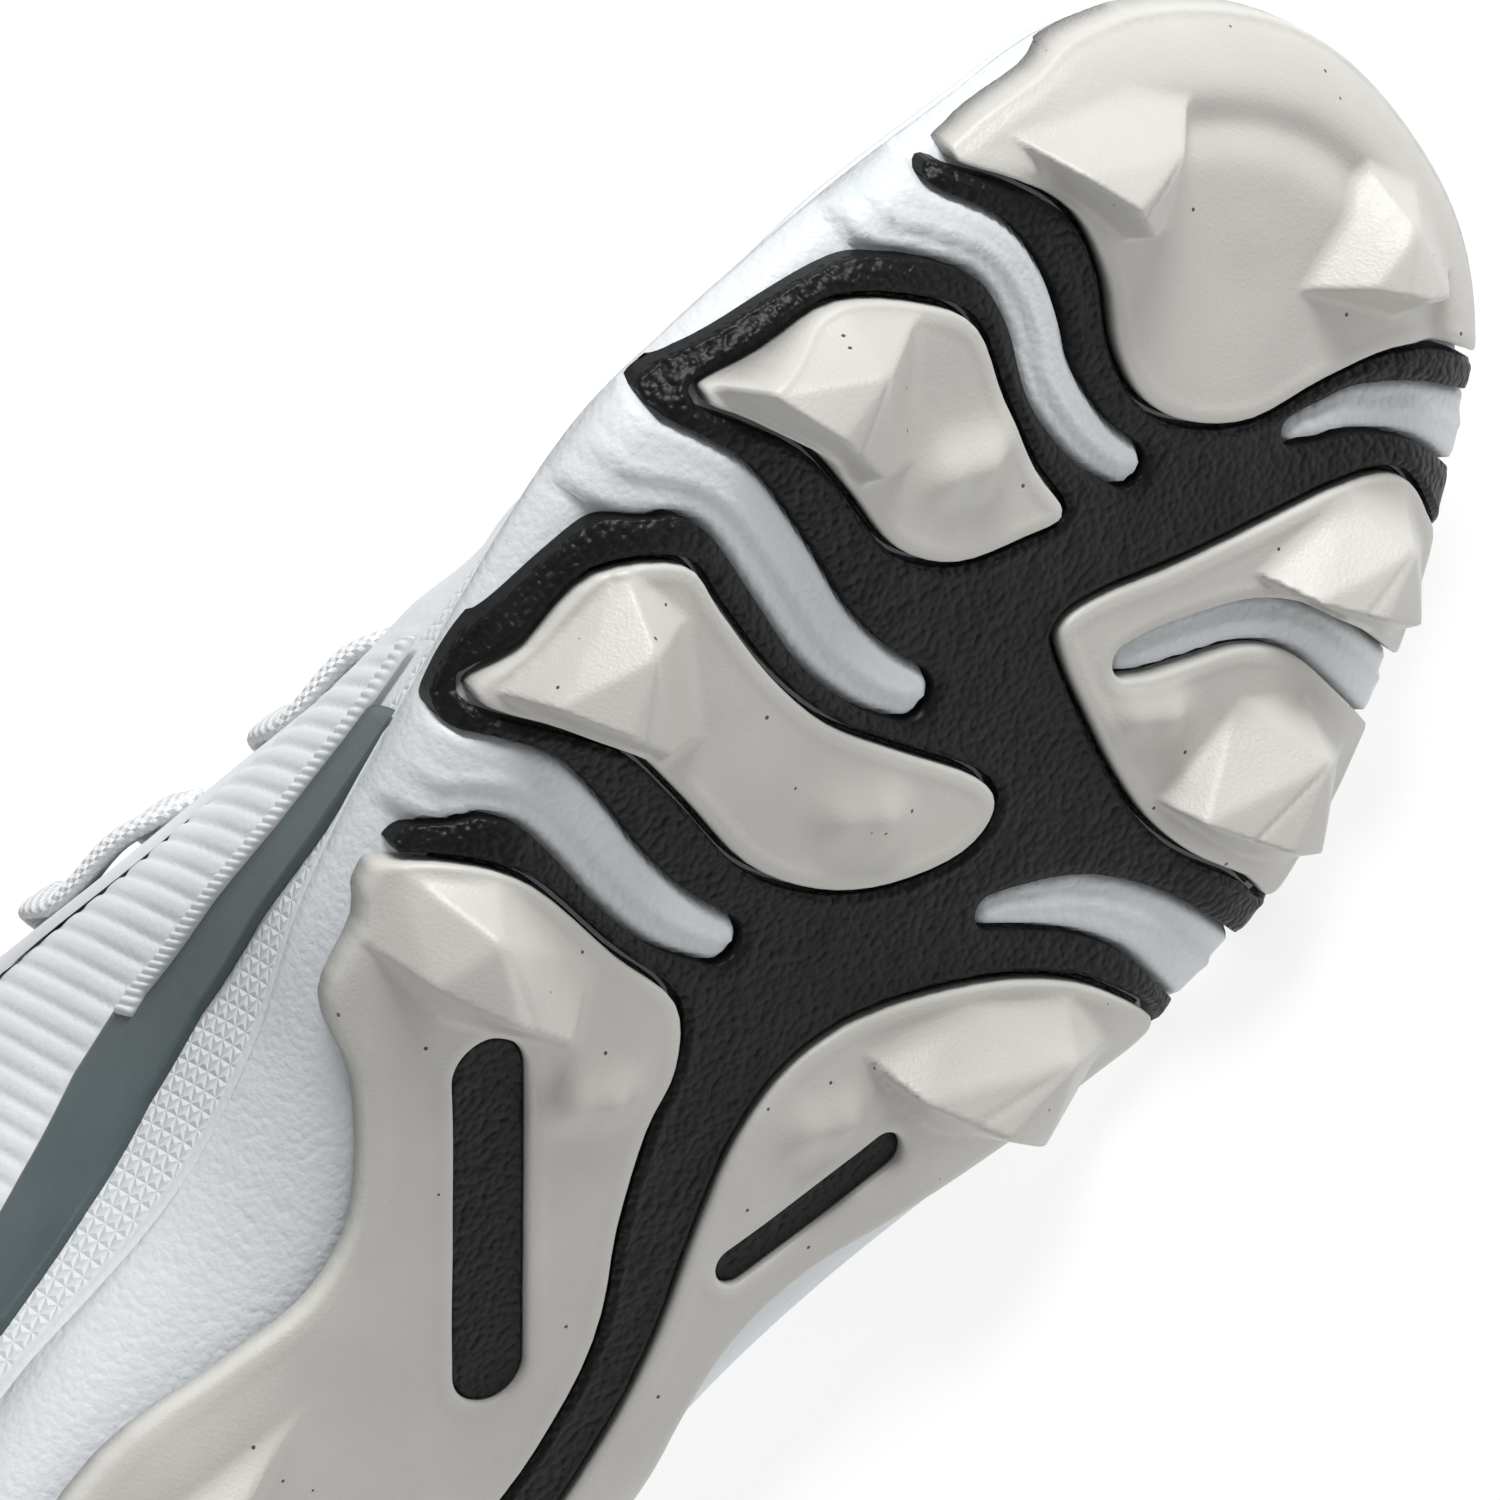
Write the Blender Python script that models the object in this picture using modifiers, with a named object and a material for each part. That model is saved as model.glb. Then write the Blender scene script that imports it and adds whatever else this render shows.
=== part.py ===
"""Football cleat with moulded studs, one right shoe lying on its medial side. Metres, +Z up."""

import functools
import math

import bmesh
import bpy
import numpy as np
from mathutils import Matrix, Vector

# Sizes in millimetres, in the standing shoe: x from heel to toe, y towards the medial side,
# z up from the stud tips.
STUD_REACH = 12.0
TOE_SPRING = 12.0
SPRING_START = 215.0
SPRING_RUN = 90.0
ARCH_RISE = 3.0
ARCH_FROM, ARCH_TO = 70.0, 185.0
HEEL_STACK, WAIST_STACK, BALL_STACK, TOE_STACK = 17.0, 13.0, 8.0, 7.5
WALL = 2.0
GAP = 0.3
FLANK_RUN = 15.0
FLANK_RISE = 5.0
WAIST_FLANK = 5.0
STACK_AT = (0, 80, 150, 215, 307)
CHASSIS_THICK = 2.6
POCKET_FLOOR = 0.9
POD_THICK = 3.2
WAVE_PROUD = 1.7
GROOVE = 0.7
STUD_MARGIN = 0.15
TOWER_HIGH = 20.0
GRID = 10.0
BED_STEP = 40.0
SOLE_STEP = 20.0
INSOLE_THICK = 3.0
INSOLE_INSET = 7.0
UPPER_INSET = 1.5
UPPER_SEAT = 0.4
TONGUE_THICK = 3.0
LACE_WIDE, LACE_THICK = 6.5, 2.0
LACE_RISE = 1.0
LACE_CLEAR = 0.9
LACE_SIDES = 6
BAND_THICK = 0.8
EYESTAY_CLEAR = 0.5

LATTICE_CUTS = (((1, 0), GRID), ((0, 1), GRID), ((1, -1), GRID))
BED_CUTS = (((1, 0), BED_STEP),)

# The lying pose, in degrees: roll about the shoe's length, then pitch, so that sole and upper both rest.
LIE_ROLL = -97.76
LIE_PITCH = -5.37

# Widest edge of the sole at each station: x, lateral y, medial y. The ends close at HEEL_END and TOE_END.
HEEL_END = (0.0, 0.0)
TOE_END = (307.0, 6.0)
SOLE_ROWS = (
    (4, -16.5, 16.5),
    (15, -27.5, 27.5),
    (40, -34.5, 34),
    (75, -36, 35),
    (112, -35, 35),
    (140, -33.5, 36),
    (158, -37.5, 37),
    (174, -45, 39.5),
    (190, -49.8, 44),
    (210, -53.5, 50),
    (232, -54.5, 54.5),
    (254, -47.5, 52.5),
    (274, -38.5, 47.5),
    (291, -28.5, 41),
    (302.5, -12.5, 28),
)

# White waves of the midsole, from the open edge to the blind end: x, y, width.
WAVES = {
    "lateral_front": ((263, -50, 8), (264.5, -41, 7), (268, -32, 6), (267, -23, 5.6), (261.5, -12, 5.6),
                      (259, -3, 4.4), (259.2, 2.2, 3.2)),
    "lateral_middle": ((228, -60, 11), (229.5, -52, 9.5), (232, -42, 6.4), (230, -31, 6.8),
                       (227, -21, 6.4), (226, -12, 5.6), (227, -5, 4)),
    "lateral_rear": ((190, -57, 9), (193, -49, 8), (197.5, -39, 6.8), (196.5, -30, 6), (194.6, -20, 5),
                     (194.7, -12, 4.6), (195.3, -6.3, 3)),
    "medial_front": ((285, 50, 8), (284, 41, 7), (282.5, 33, 6), (278.5, 25, 4.6), (272.4, 18.2, 2)),
    "medial_middle": ((257, 60, 7), (257.3, 43, 6), (256.5, 33, 4.2), (251, 24, 4), (242.3, 14.6, 2.4)),
    "medial_rear": ((222, 58, 9), (222.5, 44, 7.6), (221, 32, 6), (217, 24.5, 4.6), (212.3, 18, 2)),
}

# Outlines of the rubber pieces, x and y, clockwise from their lateral front.
TOE_POD = ((272.3, -41), (282, -36), (293, -28), (304, -11), (307.5, 6), (304, 27), (293, 42), (290.5, 32),
           (286, 24), (279, 17.5), (271, 11.5), (266.5, 4), (265.5, -3), (268, -9.5), (273, -15.5),
           (276, -23), (275, -31))
POD_FRONT = ((238.5, -50), (246, -46.2), (254, -42), (259, -34), (260.5, -27), (256.5, -19), (252.8, -10.5),
             (251, -4.3), (246.5, -7.3), (240.5, -13), (238, -20.5), (239.8, -29.5), (240.8, -37),
             (239.5, -44.5))
POD_REAR = ((202, -53), (209, -50.3), (218, -48.8), (223.8, -42), (222.3, -35), (220, -25), (219.4, -15),
            (221.5, -5), (224, 5.5), (222.5, 9.7), (217, 9.5), (210, 4), (205.3, -3.5), (203.3, -13),
            (205, -24), (206, -34), (204, -42))
MEDIAL_POD = ((241.5, 3.8), (246, 5.8), (254, 13), (263, 20.3), (272, 28), (276, 34), (275, 41), (272, 46.8),
              (257, 51.2), (243, 53), (233, 52.5), (232.5, 45), (231, 36), (231.3, 28), (233.5, 20),
              (236.5, 12.5), (239, 6.8))
REAR_PLATE = ((183, -48), (177, -44.5), (168, -40.5), (163, -34), (156, -28), (149, -24), (141, -23.2),
              (131, -26), (117, -30.5), (95, -32), (60, -32), (30, -30), (12, -22.5), (3.5, -11), (2, 0),
              (3.5, 11), (12, 22.5), (30, 29), (60, 30.5), (95, 30.5), (125, 31), (142, 29.5), (152, 26),
              (162, 24.2), (172, 26.5), (182, 32.5), (195, 40.5), (206, 45.5), (214, 48.5), (214, 38),
              (211, 29), (205, 20), (197, 12), (189, 8), (180, 7.8), (170, 11), (158, 16), (145, 19.3),
              (130, 20.3), (114, 19), (109, 16), (114, 13), (130, 12.2), (141, 12), (154, 9), (165, 2),
              (175, -3), (182, -5), (187.5, -10), (188, -20), (189, -33), (186.5, -42))
CHASSIS = ((184, -47), (190, -49.5), (199, -53), (212, -53), (226, -52), (236, -53), (247, -49.3),
           (258, -43.6), (266, -41.3), (272, -40), (280, -30), (282, 0), (290, 30), (289, 40), (276, 45.5),
           (265, 49), (245, 52.6), (232, 52.6), (222, 51.3), (215.5, 49), (200, 28), (165, 18.5), (140, 22),
           (112, 22), (106, 16), (112, 10), (150, 2), (176, -20))

# Studs: the piece each stands on, four top points (x, y, height above the sole) and its foot (x, y).
STUDS = {
    "toe_lateral": ("toe_pod", ((287, -19.5, 10), (279, -28.5, 9), (279.5, -23, 11.5), (278.5, -17.5, 9)),
                    ((278, -34), (290, -24), (293.5, -16), (281, -11), (276.8, -16), (277, -26))),
    "toe_medial": ("toe_pod", ((297, 14, 10), (293.5, 23, 9), (291.5, 18, 11.5), (289, 12.5, 9)),
                   ((284, 8), (300, 9.5), (302, 19), (297, 28), (288.5, 22), (287, 15))),
    "front": ("lateral_pod_front", ((251, -39, 10.5), (242.5, -48, 9.5), (243, -41, 11.8), (242.5, -32, 9)),
              ((239, -50.5), (254, -43), (258.5, -34), (246, -25), (240.6, -29), (240.3, -44))),
    "rear": ("lateral_pod_rear", ((215, -45.5, 10.5), (204.5, -50.5, 9.5), (207, -43, 11.8), (208, -35, 9)),
             ((202.2, -52.5), (221, -47.5), (220, -38), (211, -27.5), (206, -30), (204, -45))),
    "waist_lateral": ("rear_plate", ((183, -38.5, 10.5), (175.3, -40, 9.5), (177, -32, 11.8),
                                     (178.5, -23, 9)),
                      ((175, -43.5), (183, -46), (188, -38), (186.5, -22), (178, -17), (173, -33))),
    "medial_front": ("medial_pod", ((270, 34, 10.5), (264.5, 41.5, 9.5), (262.3, 34, 11.8), (259.5, 27, 9)),
                     ((259.5, 22.5), (271, 27.5), (275.5, 35), (272, 43.5), (262, 45), (260, 33))),
    "medial_rear": ("medial_pod", ((247, 39, 10.5), (239, 46.5, 9.5), (237, 40, 11.8), (234, 30, 9)),
                    ((233, 27), (247, 30), (251.5, 37), (250, 47.5), (236.5, 50), (233.8, 42))),
    "waist_medial": ("rear_plate", ((206, 33, 10.5), (197, 38, 9.5), (195.5, 30, 11.8), (193.5, 20, 9)),
                     ((194, 14.5), (204, 21.5), (211.5, 33), (210, 43), (196, 40), (191.5, 28))),
    "heel_lateral_front": ("rear_plate", ((101, -20, 9.5), (88, -28, 9.5), (90, -21, 11.8), (89, -12, 9)),
                           ((86, -31), (104, -27), (121, -21), (104, -12), (87, -8), (85, -20))),
    "heel_medial_front": ("rear_plate", ((99, 20, 9.5), (89, 12, 9), (90, 20.5, 11.8), (88, 27, 9.5)),
                          ((86, 29.5), (104, 26), (116, 20), (104, 12), (87, 8), (85, 20))),
    "heel_lateral_rear": ("rear_plate", ((43, -17, 9.5), (31, -26, 9.5), (31, -18, 11.8), (29, -9, 9)),
                          ((27, -27.5), (46, -24), (58, -17), (47, -9), (28, -5), (25, -17))),
    "heel_medial_rear": ("rear_plate", ((43, 17, 9.5), (29, 9, 9), (31, 18, 11.8), (31, 25, 9.5)),
                         ((27, 27), (46, 23.5), (58, 17), (47, 9), (28, 5), (25, 17))),
}

# Low nubs on the rubber: piece, crest x and y, crest height above the sole, foot reach in x and y.
NUBS = (
    ("lateral_pod_front", 249, -19, 6.5, 6, 4.5),
    ("lateral_pod_rear", 214, -5, 6.5, 5, 6),
    ("rear_plate", 176.5, -14.5, 6.5, 5.5, 5.5),
    ("medial_pod", 240, 20, 6.2, 4.5, 5),
    ("rear_plate", 186, 15.5, 6.2, 5.5, 4.5),
)

# Sections of the upper from heel to toe. foot: x on the sole's edge. top: x, lateral y, medial y and z
# of the top line. bulge and rise: how far each side's wall leaves the sole outwards and upwards.
# reach and drop: how the wall meets the top line.
UPPER_COLUMNS = ("foot", "top_x", "top_lateral", "top_medial", "top_z", "bulge_lateral", "rise_lateral",
                 "bulge_medial", "rise_medial", "reach", "drop")
UPPER_ROWS = (
    (0, 7, 0, 0, 96, 4, 22, 4, 22, 0.1, 22),
    (14, 18, -19, 19, 92, 3.5, 22, 2.5, 22, 0.15, 22),
    (46, 48, -29, 28, 79, 2.5, 20, 1, 20, 0.35, 18),
    (88, 82, -31, 30, 73, 2, 18, 1, 18, 0.45, 14),
    (120, 109, -27, 27.5, 86, 2, 18, 2.5, 18, 0.5, 20),
    (152, 130, -16, 21, 103, 0, 18, 3, 20, 0.56, 22),
    (190, 161, -11.5, 19.5, 93, -3, 16, 3, 21, 0.5, 24),
    (235, 193, -7, 18, 83, -7, 10, 2, 20, 0.45, 27),
    (277, 210, -1, 13.5, 78, -5, 12, 0, 19, 0.45, 23),
    (307, 214.5, 6, 6, 76.5, -3, 19, -3, 19, 0.5, 16),
)
AROUND, UPWARD = 4, 7

# Regions on the upper: first and last section, lower and upper edge as shares of the wall's height.
BAND_REGION = (4.0, 6.25, 0.12, 0.34)
EYESTAY_REGION = (5.0, 9.0, 0.857, 0.985)
TONGUE_REGION = (5.0, 8.0, 0.80)
TONGUE_TIP = (-13.0, 10.0)
TIP_NARROWING = 0.25
EYELET_SECTIONS = (5.3, 5.75, 6.2, 6.65, 7.1, 7.5)
EYELET_SHARE, EDGE_SHARE = 0.92, 0.985

COLOURS = {
    "midsole": (0.75, 0.79, 0.85),
    "chassis": (0.016, 0.017, 0.017),
    "toe_pod": (0.56, 0.54, 0.5),
    "lateral_pod_front": (0.56, 0.54, 0.5),
    "lateral_pod_rear": (0.56, 0.54, 0.5),
    "medial_pod": (0.56, 0.54, 0.5),
    "rear_plate": (0.56, 0.54, 0.5),
    "upper": (0.8, 0.82, 0.84),
    "eyestay": (0.78, 0.8, 0.82),
    "side_band_lateral": (0.09, 0.12, 0.125),
    "side_band_medial": (0.09, 0.12, 0.125),
    "tongue": (0.76, 0.78, 0.8),
    "lace": (0.82, 0.83, 0.84),
    "insole": (0.1, 0.1, 0.105),
}

for old in list(bpy.data.objects):
    bpy.data.objects.remove(old, do_unlink=True)
cleat = bpy.data.collections.new("football_cleat")
cutters = bpy.data.collections.new("cutters")
for collection in (cleat, cutters):
    bpy.context.scene.collection.children.link(collection)


def catmull(points, closed, steps):
    """Points along the smooth curve through the given ones."""
    points = np.asarray(points, float)
    count = len(points)
    spans = count if closed else count - 1
    found = []
    for i in range(spans):
        if closed:
            a, b, c, d = (points[(i + j) % count] for j in (-1, 0, 1, 2))
        else:
            a, b = points[max(i - 1, 0)], points[i]
            c, d = points[i + 1], points[min(i + 2, count - 1)]
        for t in np.arange(steps) / steps:
            bend = (2 * a - 5 * b + 4 * c - d) * t**2 + (3 * b - a - 3 * c + d) * t**3
            found.append(b + 0.5 * ((c - a) * t + bend))
    if not closed:
        found.append(points[-1])
    return np.array(found)


def normals_of(points):
    """Unit normals of a closed outline, pointing out of it."""
    along = np.roll(points, -1, 0) - np.roll(points, 1, 0)
    normal = np.stack([along[:, 1], -along[:, 0]], 1)
    normal /= np.linalg.norm(normal, axis=1)[:, None]
    x, y = points.T
    area = np.sum(x * np.roll(y, -1) - np.roll(x, -1) * y)
    return normal if area > 0 else -normal


def grown(points, by):
    return points + normals_of(points) * by


SOLE_LOOP = np.array(
    [HEEL_END]
    + [(x, lateral) for x, lateral, _ in SOLE_ROWS]
    + [TOE_END]
    + [(x, medial) for x, _, medial in reversed(SOLE_ROWS)]
)
SOLE_EDGE = catmull(SOLE_LOOP, True, 12)
SOLE_SPANS = np.linalg.norm(np.roll(SOLE_EDGE, -1, 0) - SOLE_EDGE, axis=1)
SOLE_RUN = np.concatenate([[0], np.cumsum(SOLE_SPANS)])
SOLE_NORMALS = normals_of(SOLE_EDGE)
TOE_INDEX = int(np.argmax(SOLE_EDGE[:, 0]))


def edge_distance(x, y):
    """Distance of a plan point from the sole's widest edge."""
    start, end = SOLE_EDGE, np.roll(SOLE_EDGE, -1, 0)
    along = end - start
    offset = np.array([x, y]) - start
    share = np.clip(np.sum(offset * along, 1) / np.sum(along * along, 1), 0, 1)
    return float(np.min(np.linalg.norm(offset - along * share[:, None], axis=1)))


def hump(x, low, high):
    share = min(max((x - low) / (high - low), 0), 1)
    return math.sin(math.pi * share) ** 2


def sole_line(x):
    """Height of the flat of the midsole's underside along the shoe."""
    spring = TOE_SPRING * max(0, (x - SPRING_START) / SPRING_RUN) ** 2
    return STUD_REACH + spring + ARCH_RISE * hump(x, ARCH_FROM, ARCH_TO)


def stack(x):
    return float(np.interp(x, STACK_AT, (HEEL_STACK, HEEL_STACK, WAIST_STACK, BALL_STACK, TOE_STACK)))


def straight(line, x, step):
    """The value of a line that is straight between evenly spaced stations."""
    low = step * math.floor(x / step)
    ends = line(low), line(low + step)
    return ends[0] + (ends[1] - ends[0]) * (x - low) / step


def bed(x):
    """Height of the midsole's top."""
    return straight(lambda at: sole_line(at) + stack(at), x, BED_STEP)


@functools.cache
def lattice(i, j):
    """Height of the midsole's underside at a lattice point; it turns up towards the edge."""
    x, y = i * GRID, j * GRID
    rise = FLANK_RISE + WAIST_FLANK * hump(x, 90, 200)
    inward = min(edge_distance(x, y) / FLANK_RUN, 1)
    return straight(sole_line, x, SOLE_STEP) + rise * (1 - inward) ** 2.2


def above_diagonal(x, y):
    """Whether a point lies in the upper triangle of its lattice square."""
    return y / GRID - math.floor(y / GRID) >= x / GRID - math.floor(x / GRID)


def underside(x, y):
    """Height of the midsole's underside: flat on each lattice triangle, so that draped pieces nest."""
    i, j = math.floor(x / GRID), math.floor(y / GRID)
    u, v = x / GRID - i, y / GRID - j
    near, far = lattice(i, j), lattice(i + 1, j + 1)
    if u > v:
        corner = lattice(i + 1, j)
        return near + (corner - near) * u + (far - corner) * v
    corner = lattice(i, j + 1)
    return near + (corner - near) * v + (far - corner) * u


def sole_at(run):
    """Point and outward normal of the sole's edge at a length along it from the heel."""
    loop = np.vstack([SOLE_EDGE, SOLE_EDGE[:1]])
    turned = np.vstack([SOLE_NORMALS, SOLE_NORMALS[:1]])
    run = run % SOLE_RUN[-1]
    point = np.array([np.interp(run, SOLE_RUN, loop[:, i]) for i in range(2)])
    normal = np.array([np.interp(run, SOLE_RUN, turned[:, i]) for i in range(2)])
    return point, normal / np.linalg.norm(normal)


def add(name, bm, where=cleat):
    mesh = bpy.data.meshes.new(name)
    bmesh.ops.recalc_face_normals(bm, faces=bm.faces)
    bm.to_mesh(mesh)
    bm.free()
    obj = bpy.data.objects.new(name, mesh)
    where.objects.link(obj)
    if where is cutters:
        obj.hide_render = True
        obj.display_type = "WIRE"
    return obj


def flat(name, outline, low, high, where=cleat):
    """A filled outline drawn flat and extruded; z counts from the midsole's underside towards the ground."""
    bm = bmesh.new()
    face = bm.faces.new([bm.verts.new((x, y, low)) for x, y in outline])
    lifted = bmesh.ops.extrude_face_region(bm, geom=[face])["geom"]
    moved = [v for v in lifted if isinstance(v, bmesh.types.BMVert)]
    bmesh.ops.translate(bm, verts=moved, vec=(0, 0, high - low))
    return add(name, bm, where)


def settle(obj):
    """Applies the object's modifiers to its mesh."""
    bpy.context.view_layer.update()
    graph = bpy.context.evaluated_depsgraph_get()
    mesh = bpy.data.meshes.new_from_object(obj.evaluated_get(graph))
    obj.modifiers.clear()
    obj.data = mesh


def combine(obj, others, operation):
    for other in others:
        modifier = obj.modifiers.new(other.name, "BOOLEAN")
        modifier.solver = "EXACT"
        modifier.operation = operation
        modifier.object = other
    settle(obj)


def cut_along(bm, way, step):
    """Cuts the faces along the evenly spaced lines that stand square to way."""
    reach = [v.co.xy.dot(way) for v in bm.verts]
    for line in np.arange(step * math.ceil(min(reach) / step), max(reach), step):
        whole = list(bm.verts) + list(bm.edges) + list(bm.faces)
        normal = Vector((way[0], way[1], 0))
        middle = normal * line / normal.length_squared
        bmesh.ops.bisect_plane(bm, geom=whole, dist=0.01, plane_co=middle, plane_no=normal)


def drape(obj, place, cuts=LATTICE_CUTS):
    """Cuts a flat solid along lines and moves its points with place(x, y, z)."""
    bm = bmesh.new()
    bm.from_mesh(obj.data)
    bmesh.ops.triangulate(bm, faces=bm.faces)
    for way, step in cuts:
        cut_along(bm, Vector(way), step)
    for face in bm.faces:
        x, y, _ = face.calc_center_median()
        face.material_index = int(above_diagonal(x, y)) if cuts is LATTICE_CUTS else int(x // BED_STEP) % 2
    bmesh.ops.dissolve_limit(bm, angle_limit=0.02, verts=bm.verts, edges=bm.edges, delimit={"MATERIAL"})
    bmesh.ops.triangulate(bm, faces=bm.faces)
    for v in bm.verts:
        v.co = place(*v.co)
    for face in bm.faces:
        face.material_index = 0
    bm.normal_update()
    bmesh.ops.dissolve_limit(bm, angle_limit=0.004, verts=bm.verts, edges=bm.edges)
    bmesh.ops.triangulate(bm, faces=bm.faces)
    bmesh.ops.recalc_face_normals(bm, faces=bm.faces)
    bm.to_mesh(obj.data)
    bm.free()


def outer(x, y, z):
    """Place of an outsole point that is z below the midsole."""
    return Vector((x, y, underside(x, y) - GAP - z))


def band(rows, grow):
    """Outline of a wave: a strip round its centre line with a round blind end."""
    line = catmull(rows, False, 2)
    centre, half = line[:, :2], line[:, 2] / 2 + grow
    along = np.gradient(centre, axis=0)
    along /= np.linalg.norm(along, axis=1)[:, None]
    side = np.stack([-along[:, 1], along[:, 0]], 1)
    left, right = centre + side * half[:, None], centre - side * half[:, None]
    turn = np.radians((45, 90, 135))
    tip = [centre[-1] + half[-1] * (side[-1] * math.cos(a) + along[-1] * math.sin(a)) for a in turn]
    return np.vstack([left, tip, right[::-1]])


def hull(name, points):
    bm = bmesh.new()
    corners = [bm.verts.new(p) for p in points]
    inside = bmesh.ops.convex_hull(bm, input=corners)["geom_interior"]
    spare = [v for v in inside if isinstance(v, bmesh.types.BMVert)]
    bmesh.ops.delete(bm, geom=spare, context="VERTS")
    return add(name, bm, cutters)


def stud(name, tops, foot):
    """The hull of a stud's top facets and its foot, which stands inside the rubber."""
    high = [(x, y, underside(x, y) - GAP - height) for x, y, height in tops]
    low = [(x, y, underside(x, y) - GAP - POD_THICK + 0.9) for x, y in foot]
    return hull(name, [Vector(p) for p in high + low])


def nub(name, x, y, height, reach_x, reach_y):
    """A low hump with a short crest, standing inside the rubber."""
    corners = ((-1, -0.4), (-0.5, 1), (0.9, 0.5), (0.6, -0.9))
    low = [(x + dx * reach_x, y + dy * reach_y) for dx, dy in corners]
    points = [(px, py, underside(px, py) - GAP - POD_THICK + 0.9) for px, py in low]
    crest = underside(x, y) - GAP - height
    points += [(x, y - 1, crest), (x - 1, y + 1.5, crest)]
    return hull(name, [Vector(p) for p in points])


def rubber(name, outline, seat=0.0, splits=()):
    """A pod: its outline held inside the sole's edge, draped, with its studs and nubs joined on."""
    loop = catmull(outline, True, 2)
    pod = flat(name, loop, seat, POD_THICK)
    limit = flat(name + "_limit", grown(SOLE_EDGE[::4], -0.8), -1, POD_THICK + 1, cutters)
    combine(pod, [limit], "INTERSECT")
    cuts = [flat(f"{name}_{wave}", band(WAVES[wave], 0.5), -5, TOWER_HIGH, cutters) for wave in splits]
    combine(pod, cuts, "DIFFERENCE")
    drape(pod, outer)
    own = {key: row[1:] for key, row in STUDS.items() if row[0] == name}
    joined = [stud(f"stud_{key}", *row) for key, row in own.items()]
    joined += [nub(f"{name}_nub_{i}", *row[1:]) for i, row in enumerate(NUBS) if row[0] == name]
    tower = flat(name + "_tower", grown(loop, -STUD_MARGIN), seat + STUD_MARGIN, TOWER_HIGH, cutters)
    drape(tower, outer)
    for piece in joined:
        combine(piece, [tower], "INTERSECT")
        combine(piece, cuts, "DIFFERENCE")
    combine(pod, joined, "UNION")
    return pod


def make_midsole():
    midsole = flat("midsole", SOLE_EDGE[::4], -10, 0)
    limit = flat("wave_limit", grown(SOLE_EDGE[::4], -0.6), -3, WAVE_PROUD + 1, cutters)
    waves = []
    for key, rows in WAVES.items():
        wave = flat(f"wave_{key}", band(rows, 0), -1, WAVE_PROUD, cutters)
        combine(wave, [limit], "INTERSECT")
        waves.append(wave)
    combine(midsole, waves, "UNION")

    def place(x, y, z):
        if z > -5:
            return Vector((x, y, underside(x, y) - z))
        inward = max(0, 1 - edge_distance(x, y) / 4)
        middle = np.array([min(max(x, 30), 265), 0])
        towards = middle - (x, y)
        towards = towards / max(np.linalg.norm(towards), 1e-6)
        return Vector((x + towards[0] * inward, y + towards[1] * inward, bed(x)))

    drape(midsole, place)
    return midsole


def make_chassis():
    chassis = flat("chassis", catmull(CHASSIS, True, 2), 0, CHASSIS_THICK)
    through = [flat(f"slot_{key}", band(rows, 0.5), -1, 4, cutters) for key, rows in WAVES.items()]
    for name, outline in (("toe", TOE_POD), ("plate", REAR_PLATE)):
        through.append(flat(f"room_{name}", grown(catmull(outline, True, 2), GROOVE), -1, 4, cutters))
    for name, outline in (("front", POD_FRONT), ("rear", POD_REAR), ("medial", MEDIAL_POD)):
        room = grown(catmull(outline, True, 2), GROOVE)
        through.append(flat(f"room_{name}", room, POCKET_FLOOR, 4, cutters))
    combine(chassis, through, "DIFFERENCE")
    drape(chassis, outer)
    return chassis


def upper_columns():
    """Each column of the upper's sections as one closed run: lateral from heel to toe, then medial back."""
    rows = [dict(zip(UPPER_COLUMNS, row)) for row in UPPER_ROWS]
    ring = [(row, -1) for row in rows] + [(row, 1) for row in rows[-2:0:-1]]
    table = []
    for row, side in ring:
        half = slice(0, TOE_INDEX + 1) if side < 0 else slice(TOE_INDEX, len(SOLE_EDGE))
        xs, runs = SOLE_EDGE[half, 0], SOLE_RUN[:-1][half]
        order = np.argsort(xs)
        run = float(np.interp(row["foot"], xs[order], runs[order]))
        own = "lateral" if side < 0 else "medial"
        names = ("top_x", "top_" + own, "top_z", "bulge_" + own, "rise_" + own, "reach", "drop")
        table.append((run, *(row[key] for key in names)))
    return np.array(table)


UPPER_TABLE = upper_columns()
LAST_SECTION = len(UPPER_ROWS) - 1


def section(k, side):
    """The table's columns at section k of one side, between the rows where k isn't whole."""
    count = len(UPPER_TABLE)
    place = k if side < 0 else count - k
    i, t = int(math.floor(place)), place - math.floor(place)
    picked = []
    for j in (-1, 0, 1, 2):
        row = UPPER_TABLE[(i + j) % count].copy()
        row[0] += SOLE_RUN[-1] * ((i + j) // count)
        picked.append(row)
    a, b, c, d = picked
    bend = (2 * a - 5 * b + 4 * c - d) * t**2 + (3 * b - a - 3 * c + d) * t**3
    return b + 0.5 * ((c - a) * t + bend)


def skin(k, side, share):
    """A point of the upper's outside: section k from heel to toe, share of the wall's height."""
    run, top_x, top_y, top_z, bulge, rise, reach, drop = section(k, side)
    edge, normal = sole_at(run)
    edge = edge - normal * UPPER_INSET
    foot = np.array([edge[0], edge[1], bed(edge[0]) + UPPER_SEAT])
    top = np.array([top_x, top_y, top_z])
    low = foot + np.array([normal[0] * bulge, normal[1] * bulge, rise])
    inward = np.array([foot[0] - top[0], foot[1] - top[1], 0]) * reach
    high = top + inward - np.array([0, 0, drop])
    s = 1 - share
    return s**3 * foot + 3 * s * s * share * low + 3 * s * share * share * high + share**3 * top


def skin_normal(k, side, share):
    step = 0.02
    k = min(max(k, step), LAST_SECTION - step)
    along = skin(k + step, side, share) - skin(k - step, side, share)
    up = skin(k, side, min(share + step, 1)) - skin(k, side, max(share - step, 0))
    normal = np.cross(along, up) * -side
    return normal / np.linalg.norm(normal)


def off_skin(k, side, share, lift):
    return Vector(skin(k, side, share) + skin_normal(k, side, share) * lift)


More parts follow.
